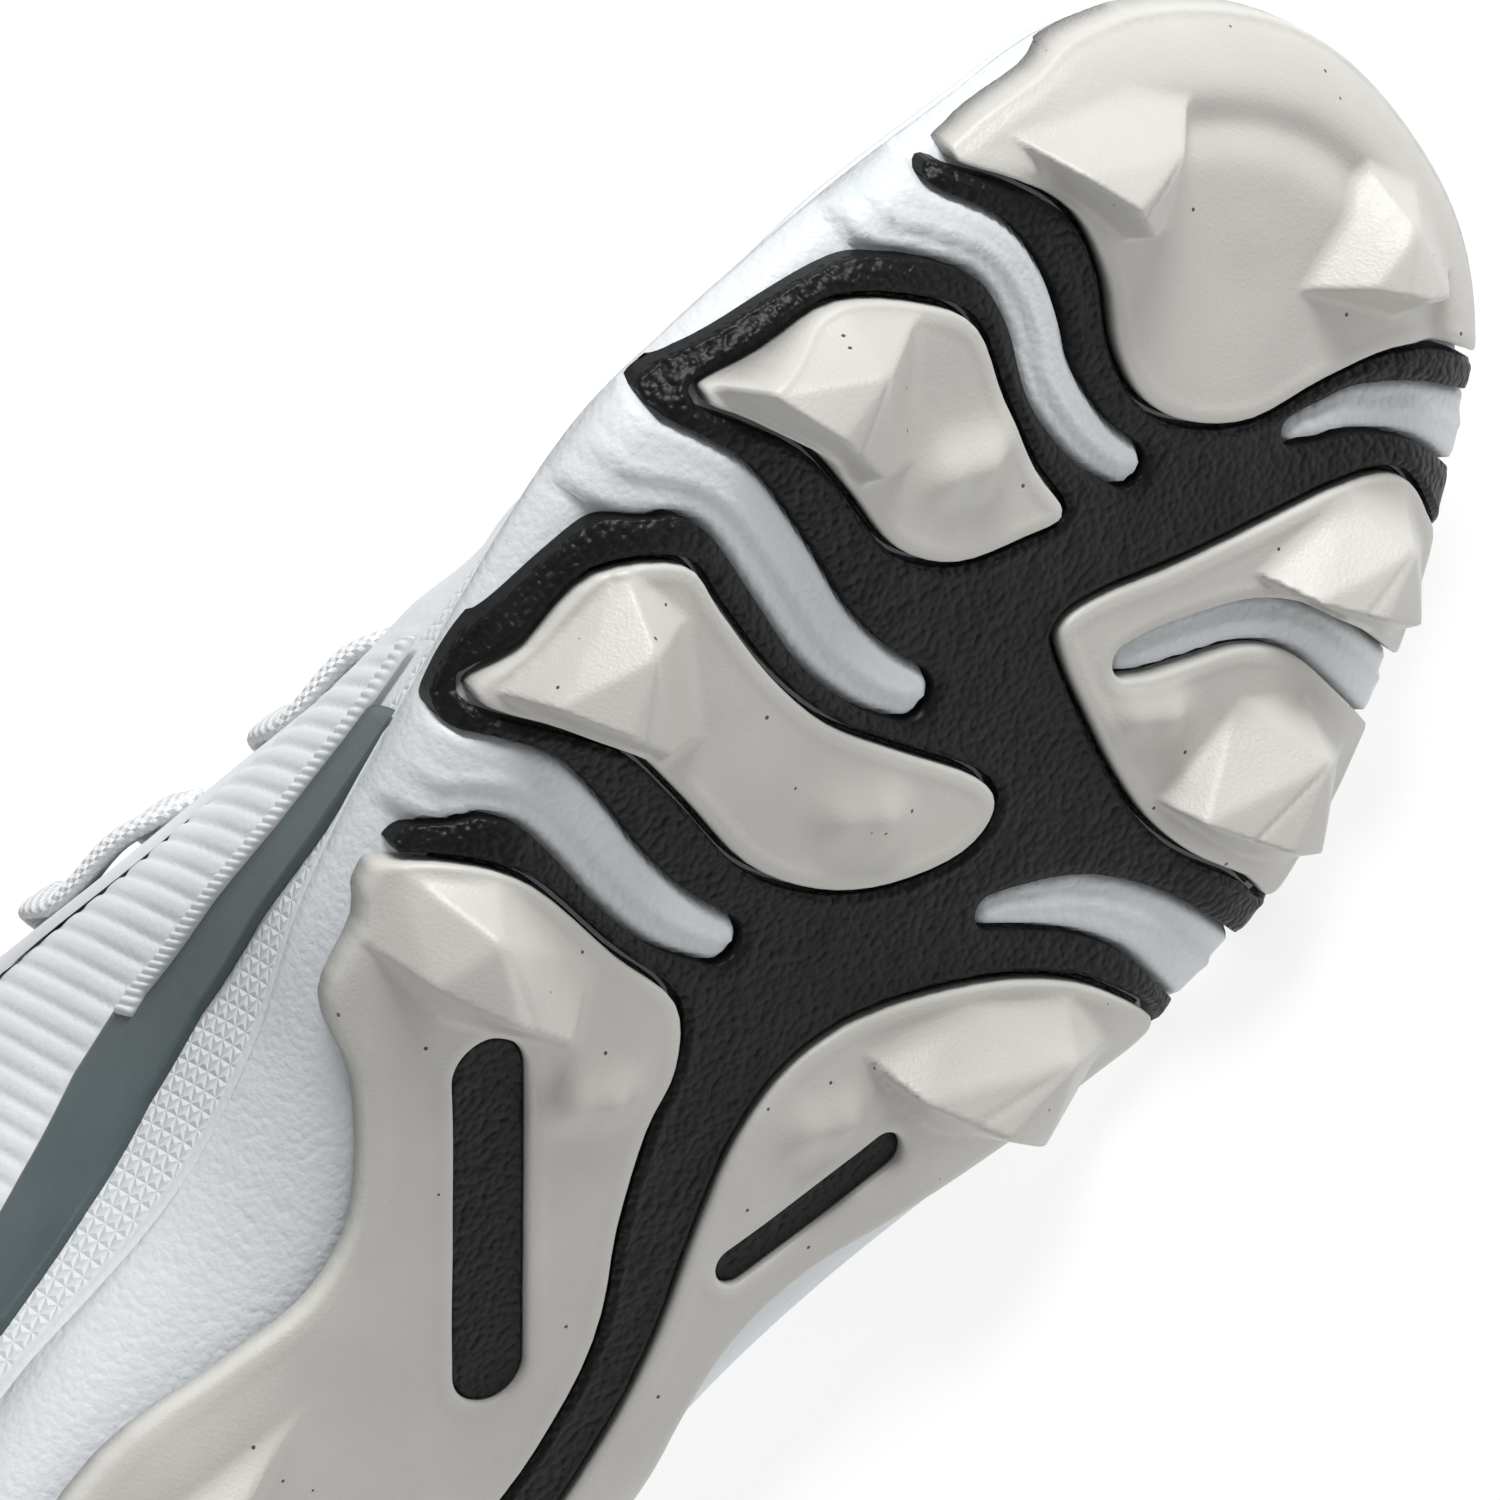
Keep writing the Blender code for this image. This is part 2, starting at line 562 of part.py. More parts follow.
def shell(name, rows, thick, closed=False):
    """A sheet through rows of points, given a wall on its inner side."""
    bm = bmesh.new()
    grid = [[bm.verts.new(p) for p in row] for row in rows]
    ring = list(range(len(grid[0])))
    pairs = list(zip(ring, ring[1:] + ring[:1])) if closed else list(zip(ring, ring[1:]))
    for below, above in zip(grid, grid[1:]):
        for i, j in pairs:
            bm.faces.new((below[i], below[j], above[j], above[i]))
    obj = add(name, bm)
    wall = obj.modifiers.new("wall", "SOLIDIFY")
    wall.thickness = thick
    wall.offset = -1
    wall.use_even_offset = False
    return obj


def around_ring():
    """Section and side of each point round the shoe."""
    count = LAST_SECTION * AROUND
    lateral = [(i / AROUND, -1) for i in range(count)]
    medial = [(i / AROUND, 1) for i in range(count, 0, -1)]
    return lateral + medial


def facing_out(obj, inside):
    """Turns the sheet's faces so that they point away from the inside point."""
    bm = bmesh.new()
    bm.from_mesh(obj.data)
    total = sum(f.normal.dot(f.calc_center_median() - inside) * f.calc_area() for f in bm.faces)
    if total < 0:
        bmesh.ops.reverse_faces(bm, faces=bm.faces)
    bm.to_mesh(obj.data)
    bm.free()


def make_upper():
    ring = around_ring()
    rows = [[Vector(skin(k, side, i / UPWARD)) for k, side in ring] for i in range(UPWARD + 1)]
    upper = shell("upper", rows, WALL, closed=True)
    facing_out(upper, Vector((150, 0, 45)))
    settle(upper)
    for v in upper.data.vertices:
        v.co.z = max(v.co.z, bed(v.co.x) + UPPER_SEAT)
    return upper


def overlay(name, ring, shares, clear=GAP):
    """A thin piece laid on the upper at the given sections and shares of its height."""
    rows = [[off_skin(k, side, share, clear + BAND_THICK) for k, side in ring] for share in shares]
    made = shell(name, rows, BAND_THICK)
    facing_out(made, Vector((160, 0, 45)))
    settle(made)
    return made


def stations(first, last):
    """The upper's own sections from first to last."""
    return np.arange(round(first * AROUND), round(last * AROUND) + 1) / AROUND


def make_band(name, side):
    first, last, low, high = BAND_REGION
    return overlay(name, [(k, side) for k in stations(first, last)], np.linspace(low, high, 4))


def make_eyestay():
    """One overlay down the lateral throat edge, round its front and up the medial edge."""
    first, last, low, high = EYESTAY_REGION
    lateral = [(k, -1) for k in stations(first, last)]
    medial = [(k, 1) for k, _ in reversed(lateral[:-1])]
    return overlay("eyestay", lateral + medial, np.linspace(low, high, 3), EYESTAY_CLEAR)


def tongue_row(k):
    """Points across the tongue at section k, from under the lateral edge to under the medial edge."""
    depth = -(WALL + GAP + 0.5)
    shares = (TONGUE_REGION[2], 0.9, EDGE_SHARE)
    lateral = [off_skin(k, -1, share, depth) for share in shares]
    medial = [off_skin(k, 1, share, depth) for share in reversed(shares)]
    gap = medial[0] - lateral[-1]
    middle = [lateral[-1] + gap * share + Vector((0, 0, 1.2)) for share in (0.3, 0.5, 0.7)]
    return lateral + middle + medial


def make_tongue():
    first, last, _ = TONGUE_REGION
    rows = [tongue_row(k) for k in np.linspace(first, last, 12)]
    start = rows[0]
    centre = sum(start, Vector()) / len(start)
    tip = Vector((TONGUE_TIP[0], 0, TONGUE_TIP[1]))
    for share in (0.5, 1.0):
        narrow = 1 - TIP_NARROWING * share
        rows.insert(0, [centre + (p - centre) * narrow + tip * share for p in start])
    tongue = shell("tongue", rows, TONGUE_THICK)
    facing_out(tongue, Vector((150, 0, 30)))
    settle(tongue)
    return tongue


def make_lace():
    """Bars across the throat, joined by the crossings between them, as one flat cord."""
    path, facing = [], []
    lift = EYESTAY_CLEAR + BAND_THICK + LACE_THICK / 2 + LACE_CLEAR
    for i, k in enumerate(EYELET_SECTIONS):
        first, second = (1, -1) if i % 2 else (-1, 1)
        stops = [(first, EYELET_SHARE), (first, EDGE_SHARE), (second, EDGE_SHARE), (second, EYELET_SHARE)]
        bar = [off_skin(k, side, share, lift) for side, share in stops]
        ups = [Vector(skin_normal(k, side, share)) for side, share in stops]
        path += [bar[0], bar[1], bar[1].lerp(bar[2], 0.5) + Vector((0, 0, LACE_RISE)), bar[2], bar[3]]
        facing += [ups[0], ups[1], ups[1].lerp(ups[2], 0.5), ups[2], ups[3]]
    line = catmull([tuple(p) for p in path], False, 2)
    facing = catmull([tuple(p) for p in facing], False, 2)
    rows = []
    along = np.gradient(line, axis=0)
    for point, way, up in zip(line, along, facing):
        way, up = Vector(way).normalized(), Vector(up)
        up = (up - way * up.dot(way)).normalized()
        side = way.cross(up)
        turn = np.radians(np.arange(LACE_SIDES) * 360 / LACE_SIDES)
        rows.append([Vector(point) + side * math.cos(a) * LACE_WIDE / 2 + up * math.sin(a) * LACE_THICK / 2
                     for a in turn])
    bm = bmesh.new()
    grid = [[bm.verts.new(p) for p in row] for row in rows]
    for below, above in zip(grid, grid[1:]):
        for i in range(LACE_SIDES):
            j = (i + 1) % LACE_SIDES
            bm.faces.new((below[i], below[j], above[j], above[i]))
    bm.faces.new(grid[0])
    bm.faces.new(grid[-1])
    return add("lace", bm)


def make_insole():
    insole = flat("insole", grown(SOLE_EDGE[::4], -INSOLE_INSET), 0, 1)

    def place(x, y, z):
        return Vector((x, y, bed(x) + GAP + z * INSOLE_THICK))

    drape(insole, place, BED_CUTS)
    return insole


def finish(name):
    colour = COLOURS[name]
    obj = bpy.data.objects[name]
    material = bpy.data.materials.new(name)
    material.use_nodes = True
    surface = material.node_tree.nodes["Principled BSDF"]
    surface.inputs["Base Color"].default_value = (*colour, 1)
    surface.inputs["Roughness"].default_value = 0.55
    obj.data.materials.clear()
    obj.data.materials.append(material)


def lie_down(parts):
    """Lays the shoe on its medial side, in metres, with the middle of its box's bottom at the origin."""
    roll = Matrix.Rotation(math.radians(LIE_ROLL), 4, "X")
    pitch = Matrix.Rotation(math.radians(LIE_PITCH), 4, "Y")
    whole = Matrix.Scale(0.001, 4) @ pitch @ roll
    for part in parts:
        part.data.transform(whole)
    points = np.array([v.co for part in parts for v in part.data.vertices])
    low, high = points.min(0), points.max(0)
    shift = Matrix.Translation((-(low[0] + high[0]) / 2, -(low[1] + high[1]) / 2, -low[2]))
    for part in parts:
        part.data.transform(shift)


make_midsole()
make_chassis()
rubber("toe_pod", TOE_POD)
rubber("lateral_pod_front", POD_FRONT, POCKET_FLOOR + GAP)
rubber("lateral_pod_rear", POD_REAR, POCKET_FLOOR + GAP)
rubber("medial_pod", MEDIAL_POD, POCKET_FLOOR + GAP, ("medial_middle",))
rubber("rear_plate", REAR_PLATE)
make_upper()
make_eyestay()
make_band("side_band_lateral", -1)
make_band("side_band_medial", 1)
make_tongue()
make_lace()
make_insole()
for part_name in COLOURS:
    finish(part_name)
lie_down([bpy.data.objects[part_name] for part_name in COLOURS])
cutters.hide_render = True
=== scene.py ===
import math

import bmesh
import bpy
import numpy as np
from mathutils import Matrix, Vector


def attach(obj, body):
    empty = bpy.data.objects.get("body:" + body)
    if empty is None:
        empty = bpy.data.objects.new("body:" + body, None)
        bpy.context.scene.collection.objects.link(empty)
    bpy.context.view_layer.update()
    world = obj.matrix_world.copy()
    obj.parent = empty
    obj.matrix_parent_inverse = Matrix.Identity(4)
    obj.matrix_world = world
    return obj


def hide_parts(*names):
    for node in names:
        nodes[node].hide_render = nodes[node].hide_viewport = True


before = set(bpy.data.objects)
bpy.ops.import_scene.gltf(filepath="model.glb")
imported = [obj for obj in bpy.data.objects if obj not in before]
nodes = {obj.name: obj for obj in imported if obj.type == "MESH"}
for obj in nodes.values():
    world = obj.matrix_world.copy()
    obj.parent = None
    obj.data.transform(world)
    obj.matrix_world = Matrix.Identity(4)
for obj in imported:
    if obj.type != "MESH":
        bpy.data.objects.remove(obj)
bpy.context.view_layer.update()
scene = bpy.context.scene
print("frame loaded with", len(nodes), "nodes")

# the sole in the upright shoe, in mm: x heel to toe, y towards the medial side, z up from the stud tips
sole = {
    "heelEnd": (0, 0),
    "toeEnd": (307, 6),
    "rows": (  # x, lateral y, medial y
        (4, -16.5, 16.5), (15, -27.5, 27.5), (40, -34.5, 34), (75, -36, 35), (112, -35, 35),
        (140, -33.5, 36), (158, -37.5, 37), (174, -45, 39.5), (190, -49.8, 44), (210, -53.5, 50),
        (232, -54.5, 54.5), (254, -47.5, 52.5), (274, -38.5, 47.5), (291, -28.5, 41), (302.5, -12.5, 28),
    ),
    "studReach": 12, "toeSpring": 12, "springStart": 215, "springRun": 90,
    "archRise": 3, "arch": (70, 185),
    "flankRun": 15, "flankRise": 5, "waistFlank": 5, "waist": (90, 200),
    "stackAt": (0, 80, 150, 215, 307), "stack": (17, 17, 13, 8, 7.5),
    "gap": 0.3, "insoleThick": 3,
}
lying = {"roll": -97.76, "pitch": -5.37}  # degrees, as the solids lie


def smoothLine(points, closed, steps):
    points = np.asarray(points, float)
    count = len(points)
    found = []
    for i in range(count if closed else count - 1):
        if closed:
            a, b, c, d = (points[(i + j) % count] for j in (-1, 0, 1, 2))
        else:
            a, b = points[max(i - 1, 0)], points[i]
            c, d = points[i + 1], points[min(i + 2, count - 1)]
        for t in np.arange(steps) / steps:
            bend = (2 * a - 5 * b + 4 * c - d) * t**2 + (3 * b - a - 3 * c + d) * t**3
            found.append(b + 0.5 * ((c - a) * t + bend))
    if not closed:
        found.append(points[-1])
    return np.array(found)


def nearestOn(points, line, closed):
    # distance of each point from a line, and the place along it in steps
    start = line if closed else line[:-1]
    end = np.roll(line, -1, 0) if closed else line[1:]
    along = end - start
    squared = np.maximum((along**2).sum(1), 1e-12)
    far, place = np.empty(len(points)), np.empty(len(points))
    for first in range(0, len(points), 3000):
        part = points[first:first + 3000]
        offset = part[:, None] - start[None]
        share = np.clip((offset * along).sum(2) / squared, 0, 1)
        gap = ((offset - along * share[..., None]) ** 2).sum(2)
        pick = gap.argmin(1)
        row = np.arange(len(part))
        far[first:first + 3000] = np.sqrt(gap[row, pick])
        place[first:first + 3000] = pick + share[row, pick]
    return far, place


def insideOf(points, loop):
    x, y = points.T
    found = np.zeros(len(points), bool)
    for (ax, ay), (bx, by) in zip(loop, np.roll(loop, -1, 0)):
        if ay != by:
            found ^= ((ay > y) != (by > y)) & (x < (bx - ax) * (y - ay) / (by - ay) + ax)
    return found


def depthIn(points, loop):
    # distance from an outline, positive inside it
    return nearestOn(points, loop, True)[0] * np.where(insideOf(points, loop), 1, -1)


def hump(x, low, high):
    return np.sin(np.pi * np.clip((x - low) / (high - low), 0, 1)) ** 2


def smoothStep(value):
    value = np.clip(value, 0, 1)
    return value * value * (3 - 2 * value)


def bell(offset, width):
    return np.exp(-(offset / width) ** 2)


def rollOff(depth, radius):
    # quarter-round edge, from 0 at the rim to 1
    return np.sqrt(np.clip(1 - (1 - np.clip(depth / radius, 0, 1)) ** 2, 0, 1))


def grooves(run, pitch, width):
    # 1 along each of a set of lines
    turn = run / pitch
    return bell((turn - np.round(turn)) * pitch, width)


def unit(vectors):
    return vectors / np.maximum(np.linalg.norm(vectors, axis=-1), 1e-9)[..., None]


def runOf(points):
    return np.concatenate([[0], np.cumsum(np.linalg.norm(np.diff(points, axis=0), axis=1))])


def soleLine(x):
    spring = sole["toeSpring"] * np.maximum(0, (x - sole["springStart"]) / sole["springRun"]) ** 2
    return sole["studReach"] + spring + sole["archRise"] * hump(x, *sole["arch"])


def bedAt(x):
    # top of the midsole, straight between stations 40 mm apart as in the solids
    stations = np.arange(-40, 401, 40)
    tops = soleLine(stations) + np.interp(stations, sole["stackAt"], sole["stack"])
    return np.interp(x, stations, tops)


soleLoop = [sole["heelEnd"]] + [(x, lateral) for x, lateral, _ in sole["rows"]]
soleLoop += [sole["toeEnd"]] + [(x, medial) for x, _, medial in reversed(sole["rows"])]
soleEdge = smoothLine(soleLoop, True, 12)

# depth inside the sole's edge and height of its underside, kept as maps with 1 mm cells
mapX, mapY = np.arange(-12, 321), np.arange(-70, 71)
mapPoints = np.stack(np.meshgrid(mapX, mapY, indexing="ij"), 2).reshape(-1, 2).astype(float)
edgeMap = depthIn(mapPoints, soleEdge[::2])
inwardMap = np.clip(edgeMap / sole["flankRun"], 0, 1)
riseMap = sole["flankRise"] + sole["waistFlank"] * hump(mapPoints[:, 0], *sole["waist"])
underMap = soleLine(mapPoints[:, 0]) + riseMap * (1 - inwardMap) ** 2.2
mapShape = (len(mapX), len(mapY))
edgeMap, underMap = edgeMap.reshape(mapShape), underMap.reshape(mapShape)


def readMap(values, points):
    u = np.clip(points[:, 0] - mapX[0], 0, mapShape[0] - 1.001)
    v = np.clip(points[:, 1] - mapY[0], 0, mapShape[1] - 1.001)
    i, j = u.astype(int), v.astype(int)
    u, v = u - i, v - j
    low = values[i, j] * (1 - u) + values[i + 1, j] * u
    high = values[i, j + 1] * (1 - u) + values[i + 1, j + 1] * u
    return low * (1 - v) + high * v


def softNoise(points, size, seed):
    # smooth value noise from -1 to 1 over the plan
    table = np.random.default_rng(seed).uniform(-1, 1, (64, 64))
    u, v = points[:, 0] / size % 64, points[:, 1] / size % 64
    i, j = u.astype(int) % 64, v.astype(int) % 64
    s, t = smoothStep(u % 1), smoothStep(v % 1)
    k, m = (i + 1) % 64, (j + 1) % 64
    low = table[i, j] * (1 - s) + table[k, j] * s
    return low * (1 - t) + (table[i, m] * (1 - s) + table[k, m] * s) * t


# upright shoe in mm to the lying frame in metres, set on the solids themselves
pitch, roll = math.radians(lying["pitch"]), math.radians(lying["roll"])
turnRows = np.array(Matrix.Rotation(pitch, 3, "Y") @ Matrix.Rotation(roll, 3, "X"))


def uprightPoints(node):
    return np.array([v.co for v in nodes[node].data.vertices]) @ turnRows * 1000


midsolePoints, insolePoints = uprightPoints("midsole"), uprightPoints("insole")
bedTop = bedAt(np.arange(0, 300, 0.5)).max() + sole["gap"] + sole["insoleThick"]
shift = np.array([
    midsolePoints[:, 0].min() - soleEdge[:, 0].min(),
    midsolePoints[:, 1].max() - soleEdge[:, 1].max(),
    insolePoints[:, 2].max() - bedTop,
])


def toFrame(points):
    return (np.asarray(points, float) + shift) @ turnRows.T / 1000


# camera at the photograph's angle to the shoe
view = {"eye": (212.8, -588.6, -667.0), "aim": (212.8, -10.1, 22.5), "spin": 54.4, "tip": 40,
        "lens": 210.6, "sensor": 36}
tip, spin = math.radians(view["tip"]), math.radians(view["spin"])
across = np.array([0, math.cos(tip), -math.sin(tip)])
lengthways = np.array([1, 0, 0])
viewRight = turnRows @ (math.cos(spin) * lengthways + math.sin(spin) * across)
viewUp = turnRows @ (math.sin(spin) * lengthways - math.cos(spin) * across)
viewBack = turnRows @ unit(np.array(view["eye"]) - view["aim"])
cameraData = bpy.data.cameras.new("camera")
cameraData.sensor_width = view["sensor"]
cameraData.lens = view["lens"]
cameraData.clip_start = 0.02
camera = bpy.data.objects.new("camera", cameraData)
scene.collection.objects.link(camera)
cameraPose = Matrix((viewRight, viewUp, viewBack)).transposed().to_4x4()
cameraPose.translation = toFrame([view["eye"]])[0]
camera.matrix_world = cameraPose
scene.camera = camera
aimPoint = Vector(toFrame([view["aim"]])[0])
print("camera set")

# materials: sizes in mm
plainFinish = {"glossPatch": 1.5, "highlightPatch": 3.0, "coat": 0.0, "coatRough": 0.3, "sheen": 0.0,
               "specular": 0.5}


class FinishNodes:
    # short calls for the nodes of one material
    def __init__(self, material):
        material.use_nodes = True
        self.tree = material.node_tree
        self.place = self.add("TexCoord").outputs["Object"]

    def add(self, kind, **settings):
        node = self.tree.nodes.new("ShaderNode" + kind)
        for key, value in settings.items():
            if key in node.inputs:
                self.feed(node, key, value)
            else:
                setattr(node, key, value)
        return node

    def feed(self, node, socket, value):
        if isinstance(value, bpy.types.NodeSocket):
            self.tree.links.new(value, node.inputs[socket])
        else:
            node.inputs[socket].default_value = value

    def calc(self, operation, *values):
        node = self.add("Math", operation=operation)
        for socket, value in enumerate(values):
            self.feed(node, socket, value)
        return node.outputs[0]

    def noise(self, size, detail=3.0):
        return self.add("TexNoise", Vector=self.place, Scale=1000 / size, Detail=detail).outputs["Fac"]

    def cells(self, size, feature="F1"):
        node = self.add("TexVoronoi", feature=feature, Vector=self.place, Scale=1000 / size)
        return node.outputs["Distance"]

    def mark(self, key):
        return self.add("Attribute", attribute_name=key).outputs["Fac"]

    def mix(self, factor, colour, tint):
        node = self.add("Mix", data_type="RGBA")
        for socket, value in ((0, factor), (6, colour), (7, (*tint, 1))):
            self.feed(node, socket, value)
        return node.outputs[2]


def patternHeight(kit, size, ways, deep, mask=None, join="ADD"):
    # small relief laid out along the piece's own surface, from its map in mm
    split = kit.add("SeparateXYZ", Vector=kit.add("UVMap", uv_map="mm").outputs["UV"])
    total = None
    for angle in np.radians(ways):
        u = kit.calc("MULTIPLY", split.outputs[0], math.cos(angle))
        line = kit.calc("MULTIPLY_ADD", split.outputs[1], math.sin(angle), u)
        line = kit.calc("DIVIDE", kit.calc("PINGPONG", line, size / 2), size / 2)
        total = line if total is None else kit.calc(join, total, line)
    if mask:
        total = kit.calc("MULTIPLY", total, kit.mark(mask))
    return kit.calc("MULTIPLY", total, deep)


def makeFinish(name, **look):
    look = {**plainFinish, **look}
    material = bpy.data.materials.new(name)
    kit = FinishNodes(material)
    shader = kit.tree.nodes["Principled BSDF"]
    ramp = kit.add("ValToRGB", Fac=kit.noise(look["patch"], 4.0))
    for element, at, key in zip(ramp.color_ramp.elements, (0.3, 0.7), ("dark", "light")):
        element.position, element.color = at, (*look[key], 1)
    colour = ramp.outputs["Color"]
    if "flecks" in look:
        size, share, tint = look["flecks"]
        colour = kit.mix(kit.calc("LESS_THAN", kit.cells(size), share), colour, tint)
    if "rim" in look:  # painted highlight on the rounded edges, from the distance to the piece's own outline, patchy by noise
        reach, amount, tint = look["rim"]
        edgeHighlight = kit.calc("SUBTRACT", 1.0, kit.calc("DIVIDE", kit.mark("rim"), reach))
        edgeHighlight = kit.calc("MULTIPLY", kit.calc("MAXIMUM", edgeHighlight, 0.0), amount)
        colour = kit.mix(kit.calc("MULTIPLY", edgeHighlight, kit.noise(look["highlightPatch"])), colour, tint)
    # painted shade: a near-black tint over a marked area, here the eyelet holes
    if "stain" in look:
        key, tint = look["stain"]
        colour = kit.mix(kit.mark(key), colour, tint)
    low, high = look["rough"]
    rough = kit.add("MapRange", Value=kit.noise(look["glossPatch"]), **{"To Min": low, "To Max": high})
    height = 0.0
    for kind, size, weight in look["grain"]:
        if kind == "cells":
            layer = kit.calc("MULTIPLY", kit.calc("POWER", kit.cells(size, "SMOOTH_F1"), 2.0), -1.6)
        else:
            layer = kit.noise(size)
        height = kit.calc("MULTIPLY_ADD", layer, weight, height)
    if "pattern" in look:
        height = kit.calc("ADD", height, patternHeight(kit, **look["pattern"]))
    bump = kit.add("Bump", Strength=1.0, Distance=look["grainDeep"] / 1000, Height=height)
    for socket, value in (
        ("Base Color", colour), ("Roughness", rough.outputs["Result"]), ("Normal", bump.outputs["Normal"]),
        ("Coat Weight", look["coat"]), ("Coat Roughness", look["coatRough"]), ("Sheen Weight", look["sheen"]),
        ("Specular IOR Level", look["specular"]),
    ):
        kit.feed(shader, socket, value)
    return material


whiteFoam = makeFinish(
    "white foam skin", light=(0.66, 0.69, 0.71), dark=(0.62, 0.65, 0.675), patch=14, rough=(0.46, 0.6),
    grain=(("noise", 0.5, 0.6), ("cells", 0.9, 0.6)), grainDeep=0.14, coat=0.05)
# the frame's rim tint is a painted sheen along the edges of its bands
blackFrame = makeFinish(
    "black moulded frame", light=(0.007, 0.0075, 0.0075), dark=(0.0035, 0.0038, 0.004), patch=9,
    rough=(0.36, 0.5), grain=(("cells", 0.8, 1.0), ("noise", 2.2, 0.5)), grainDeep=0.27,
    rim=(0.9, 0.2, (0.012, 0.012, 0.012)), specular=0.2)
# the rubber's rim tint is a painted highlight along its rounded edges
greyRubber = makeFinish(
    "warm grey rubber", light=(0.565, 0.555, 0.52), dark=(0.51, 0.50, 0.47), patch=18, rough=(0.38, 0.5),
    grain=(("noise", 0.4, 0.6), ("noise", 2.5, 0.5)), grainDeep=0.09, flecks=(4.2, 0.055, (0.07, 0.05, 0.04)),
    rim=(0.7, 0.45, (0.70, 0.69, 0.66)))

# plan nets: triangles over the area where a depth function is positive, with the rim on its zero line


def slopeOf(depth, points, reach=0.05):
    right, up = np.array([reach, 0]), np.array([0, reach])
    return unit(np.stack([depth(points + step) - depth(points - step) for step in (right, up)], 1))


def planNet(depth, low, high, step):
    rowHigh = step * math.sqrt(3) / 2
    columns = int((high[0] - low[0]) / step) + 2
    rows = int((high[1] - low[1]) / rowHigh) + 2
    j, i = np.mgrid[0:rows, 0:columns]
    points = np.stack([low[0] + (i + 0.5 * (j % 2)) * step, low[1] + j * rowHigh], 2).reshape(-1, 2)
    value = depth(points)
    near = np.abs(value) < 0.3 * step
    points[near] -= slopeOf(depth, points[near]) * value[near][:, None]
    value[near] = 0
    at = (np.arange(rows)[:, None] * columns + np.arange(columns)[None]).astype(int)
    triangles = []
    for row in range(rows - 1):
        a, b = at[row, :-1], at[row, 1:]
        c, d = at[row + 1, :-1], at[row + 1, 1:]
        halves = ((a, b, c), (b, d, c)) if row % 2 == 0 else ((a, b, d), (a, d, c))
        triangles += [np.stack(half, 1) for half in halves]
    triangles = np.concatenate(triangles)
    levels = value[triangles]
    kept = triangles[(levels >= 0).all(1) & (levels > 0).any(1)].tolist()
    cut = triangles[(levels > 0).any(1) & (levels < 0).any(1)]
    spots, made = points.tolist(), {}
    for corners in cut.tolist():
        ring = []
        for p, q in zip(corners, corners[1:] + corners[:1]):
            if value[p] >= 0:
                ring.append(p)
            if value[p] * value[q] < 0:
                key = (min(p, q), max(p, q))
                if key not in made:
                    share = value[key[0]] / (value[key[0]] - value[key[1]])
                    made[key] = len(spots)
                    start, end = points[list(key)]
                    spots.append((start + (end - start) * share).tolist())
                ring.append(made[key])
        kept += [(ring[0], ring[n], ring[n + 1]) for n in range(1, len(ring) - 1)]
    kept, spots = np.array(kept), np.array(spots)
    used, index = np.unique(kept, return_inverse=True)
    return spots[used], index.reshape(-1, 3)


def rimEdges(faces):
    ends = np.concatenate([faces[:, [0, 1]], faces[:, [1, 2]], faces[:, [2, 0]]])
    _, first, count = np.unique(np.sort(ends, axis=1), axis=0, return_index=True, return_counts=True)
    return ends[first[count == 1]]


def addPiece(name, mesh, materials, slot, stands):
    for material in materials:
        mesh.materials.append(material)
    piece = bpy.data.objects.new(name, mesh)
    scene.collection.objects.link(piece)
    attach(piece, "root")
    if stands:  # each slot has its node's name
        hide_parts(slot)
    print("made", name, len(mesh.polygons), "faces")
    return piece


def addMark(mesh, key, values):
    mesh.attributes.new(key, "FLOAT", "POINT").data.foreach_set("value", np.asarray(values, np.float32))


def onUnderside(points, height):
    return np.column_stack([points, readMap(underMap, points) - height])


def onBed(points, height):
    return np.column_stack([points, bedAt(points[:, 0]) + height])


def fromEdge(points):
    return readMap(edgeMap, points)


def makePlate(name, plate, depth, top, bottom, material, slot, stands=True, place=onUnderside):
    # a moulded piece over a plan area: rounded rim, wall down to its seat, closed below
    radius, turns = plate["round"], 4
    net, faces = planNet(lambda p: depth(p) - radius, plate["low"], plate["high"], plate["step"])
    height = top(net)
    ring, index = np.unique(rimEdges(faces), return_inverse=True)
    index = index.reshape(-1, 2)
    outward = -slopeOf(depth, net[ring])
    rows, rims, sides = [place(net, height)], [depth(net)], []
    before, count = ring, len(net)
    for n in range(1, turns + 2):
        angle = math.pi / 2 * min(n / turns, 1)
        spot = net[ring] + outward * radius * math.sin(angle)
        level = height[ring] - radius * (1 - math.cos(angle)) if n <= turns else bottom(spot)
        rows.append(place(spot, level))
        rims.append(np.full(len(ring), radius * (1 - math.sin(angle))))
        after = np.arange(count, count + len(ring))
        sides += [(before[a], before[b], after[b], after[a]) for a, b in index]
        before, count = after, count + len(ring)
    rows.append(place(net, bottom(net)))
    rims.append(rims[0])
    below = ring + count
    sides += [(before[a], before[b], below[b], below[a]) for a, b in index]
    mesh = bpy.data.meshes.new(name)
    faces = faces.tolist() + (faces[:, ::-1] + count).tolist() + sides
    mesh.from_pydata(toFrame(np.vstack(rows)).tolist(), [], faces)
    bm = bmesh.new()
    bm.from_mesh(mesh)
    bmesh.ops.recalc_face_normals(bm, faces=bm.faces)
    bm.to_mesh(mesh)
    bm.free()
    mesh.shade_smooth()
    addMark(mesh, "rim", np.concatenate(rims))
    return addPiece(name, mesh, [material], slot, stands)


def softMin(values, width):
    values = np.array(values)
    least = values.min(0)
    return least - width * np.log(np.exp(-(values - least) / width).sum(0))


def softMax(first, second, width):
    blend = np.maximum(width - np.abs(first - second), 0) / width
    return np.maximum(first, second) + blend * blend * width / 4


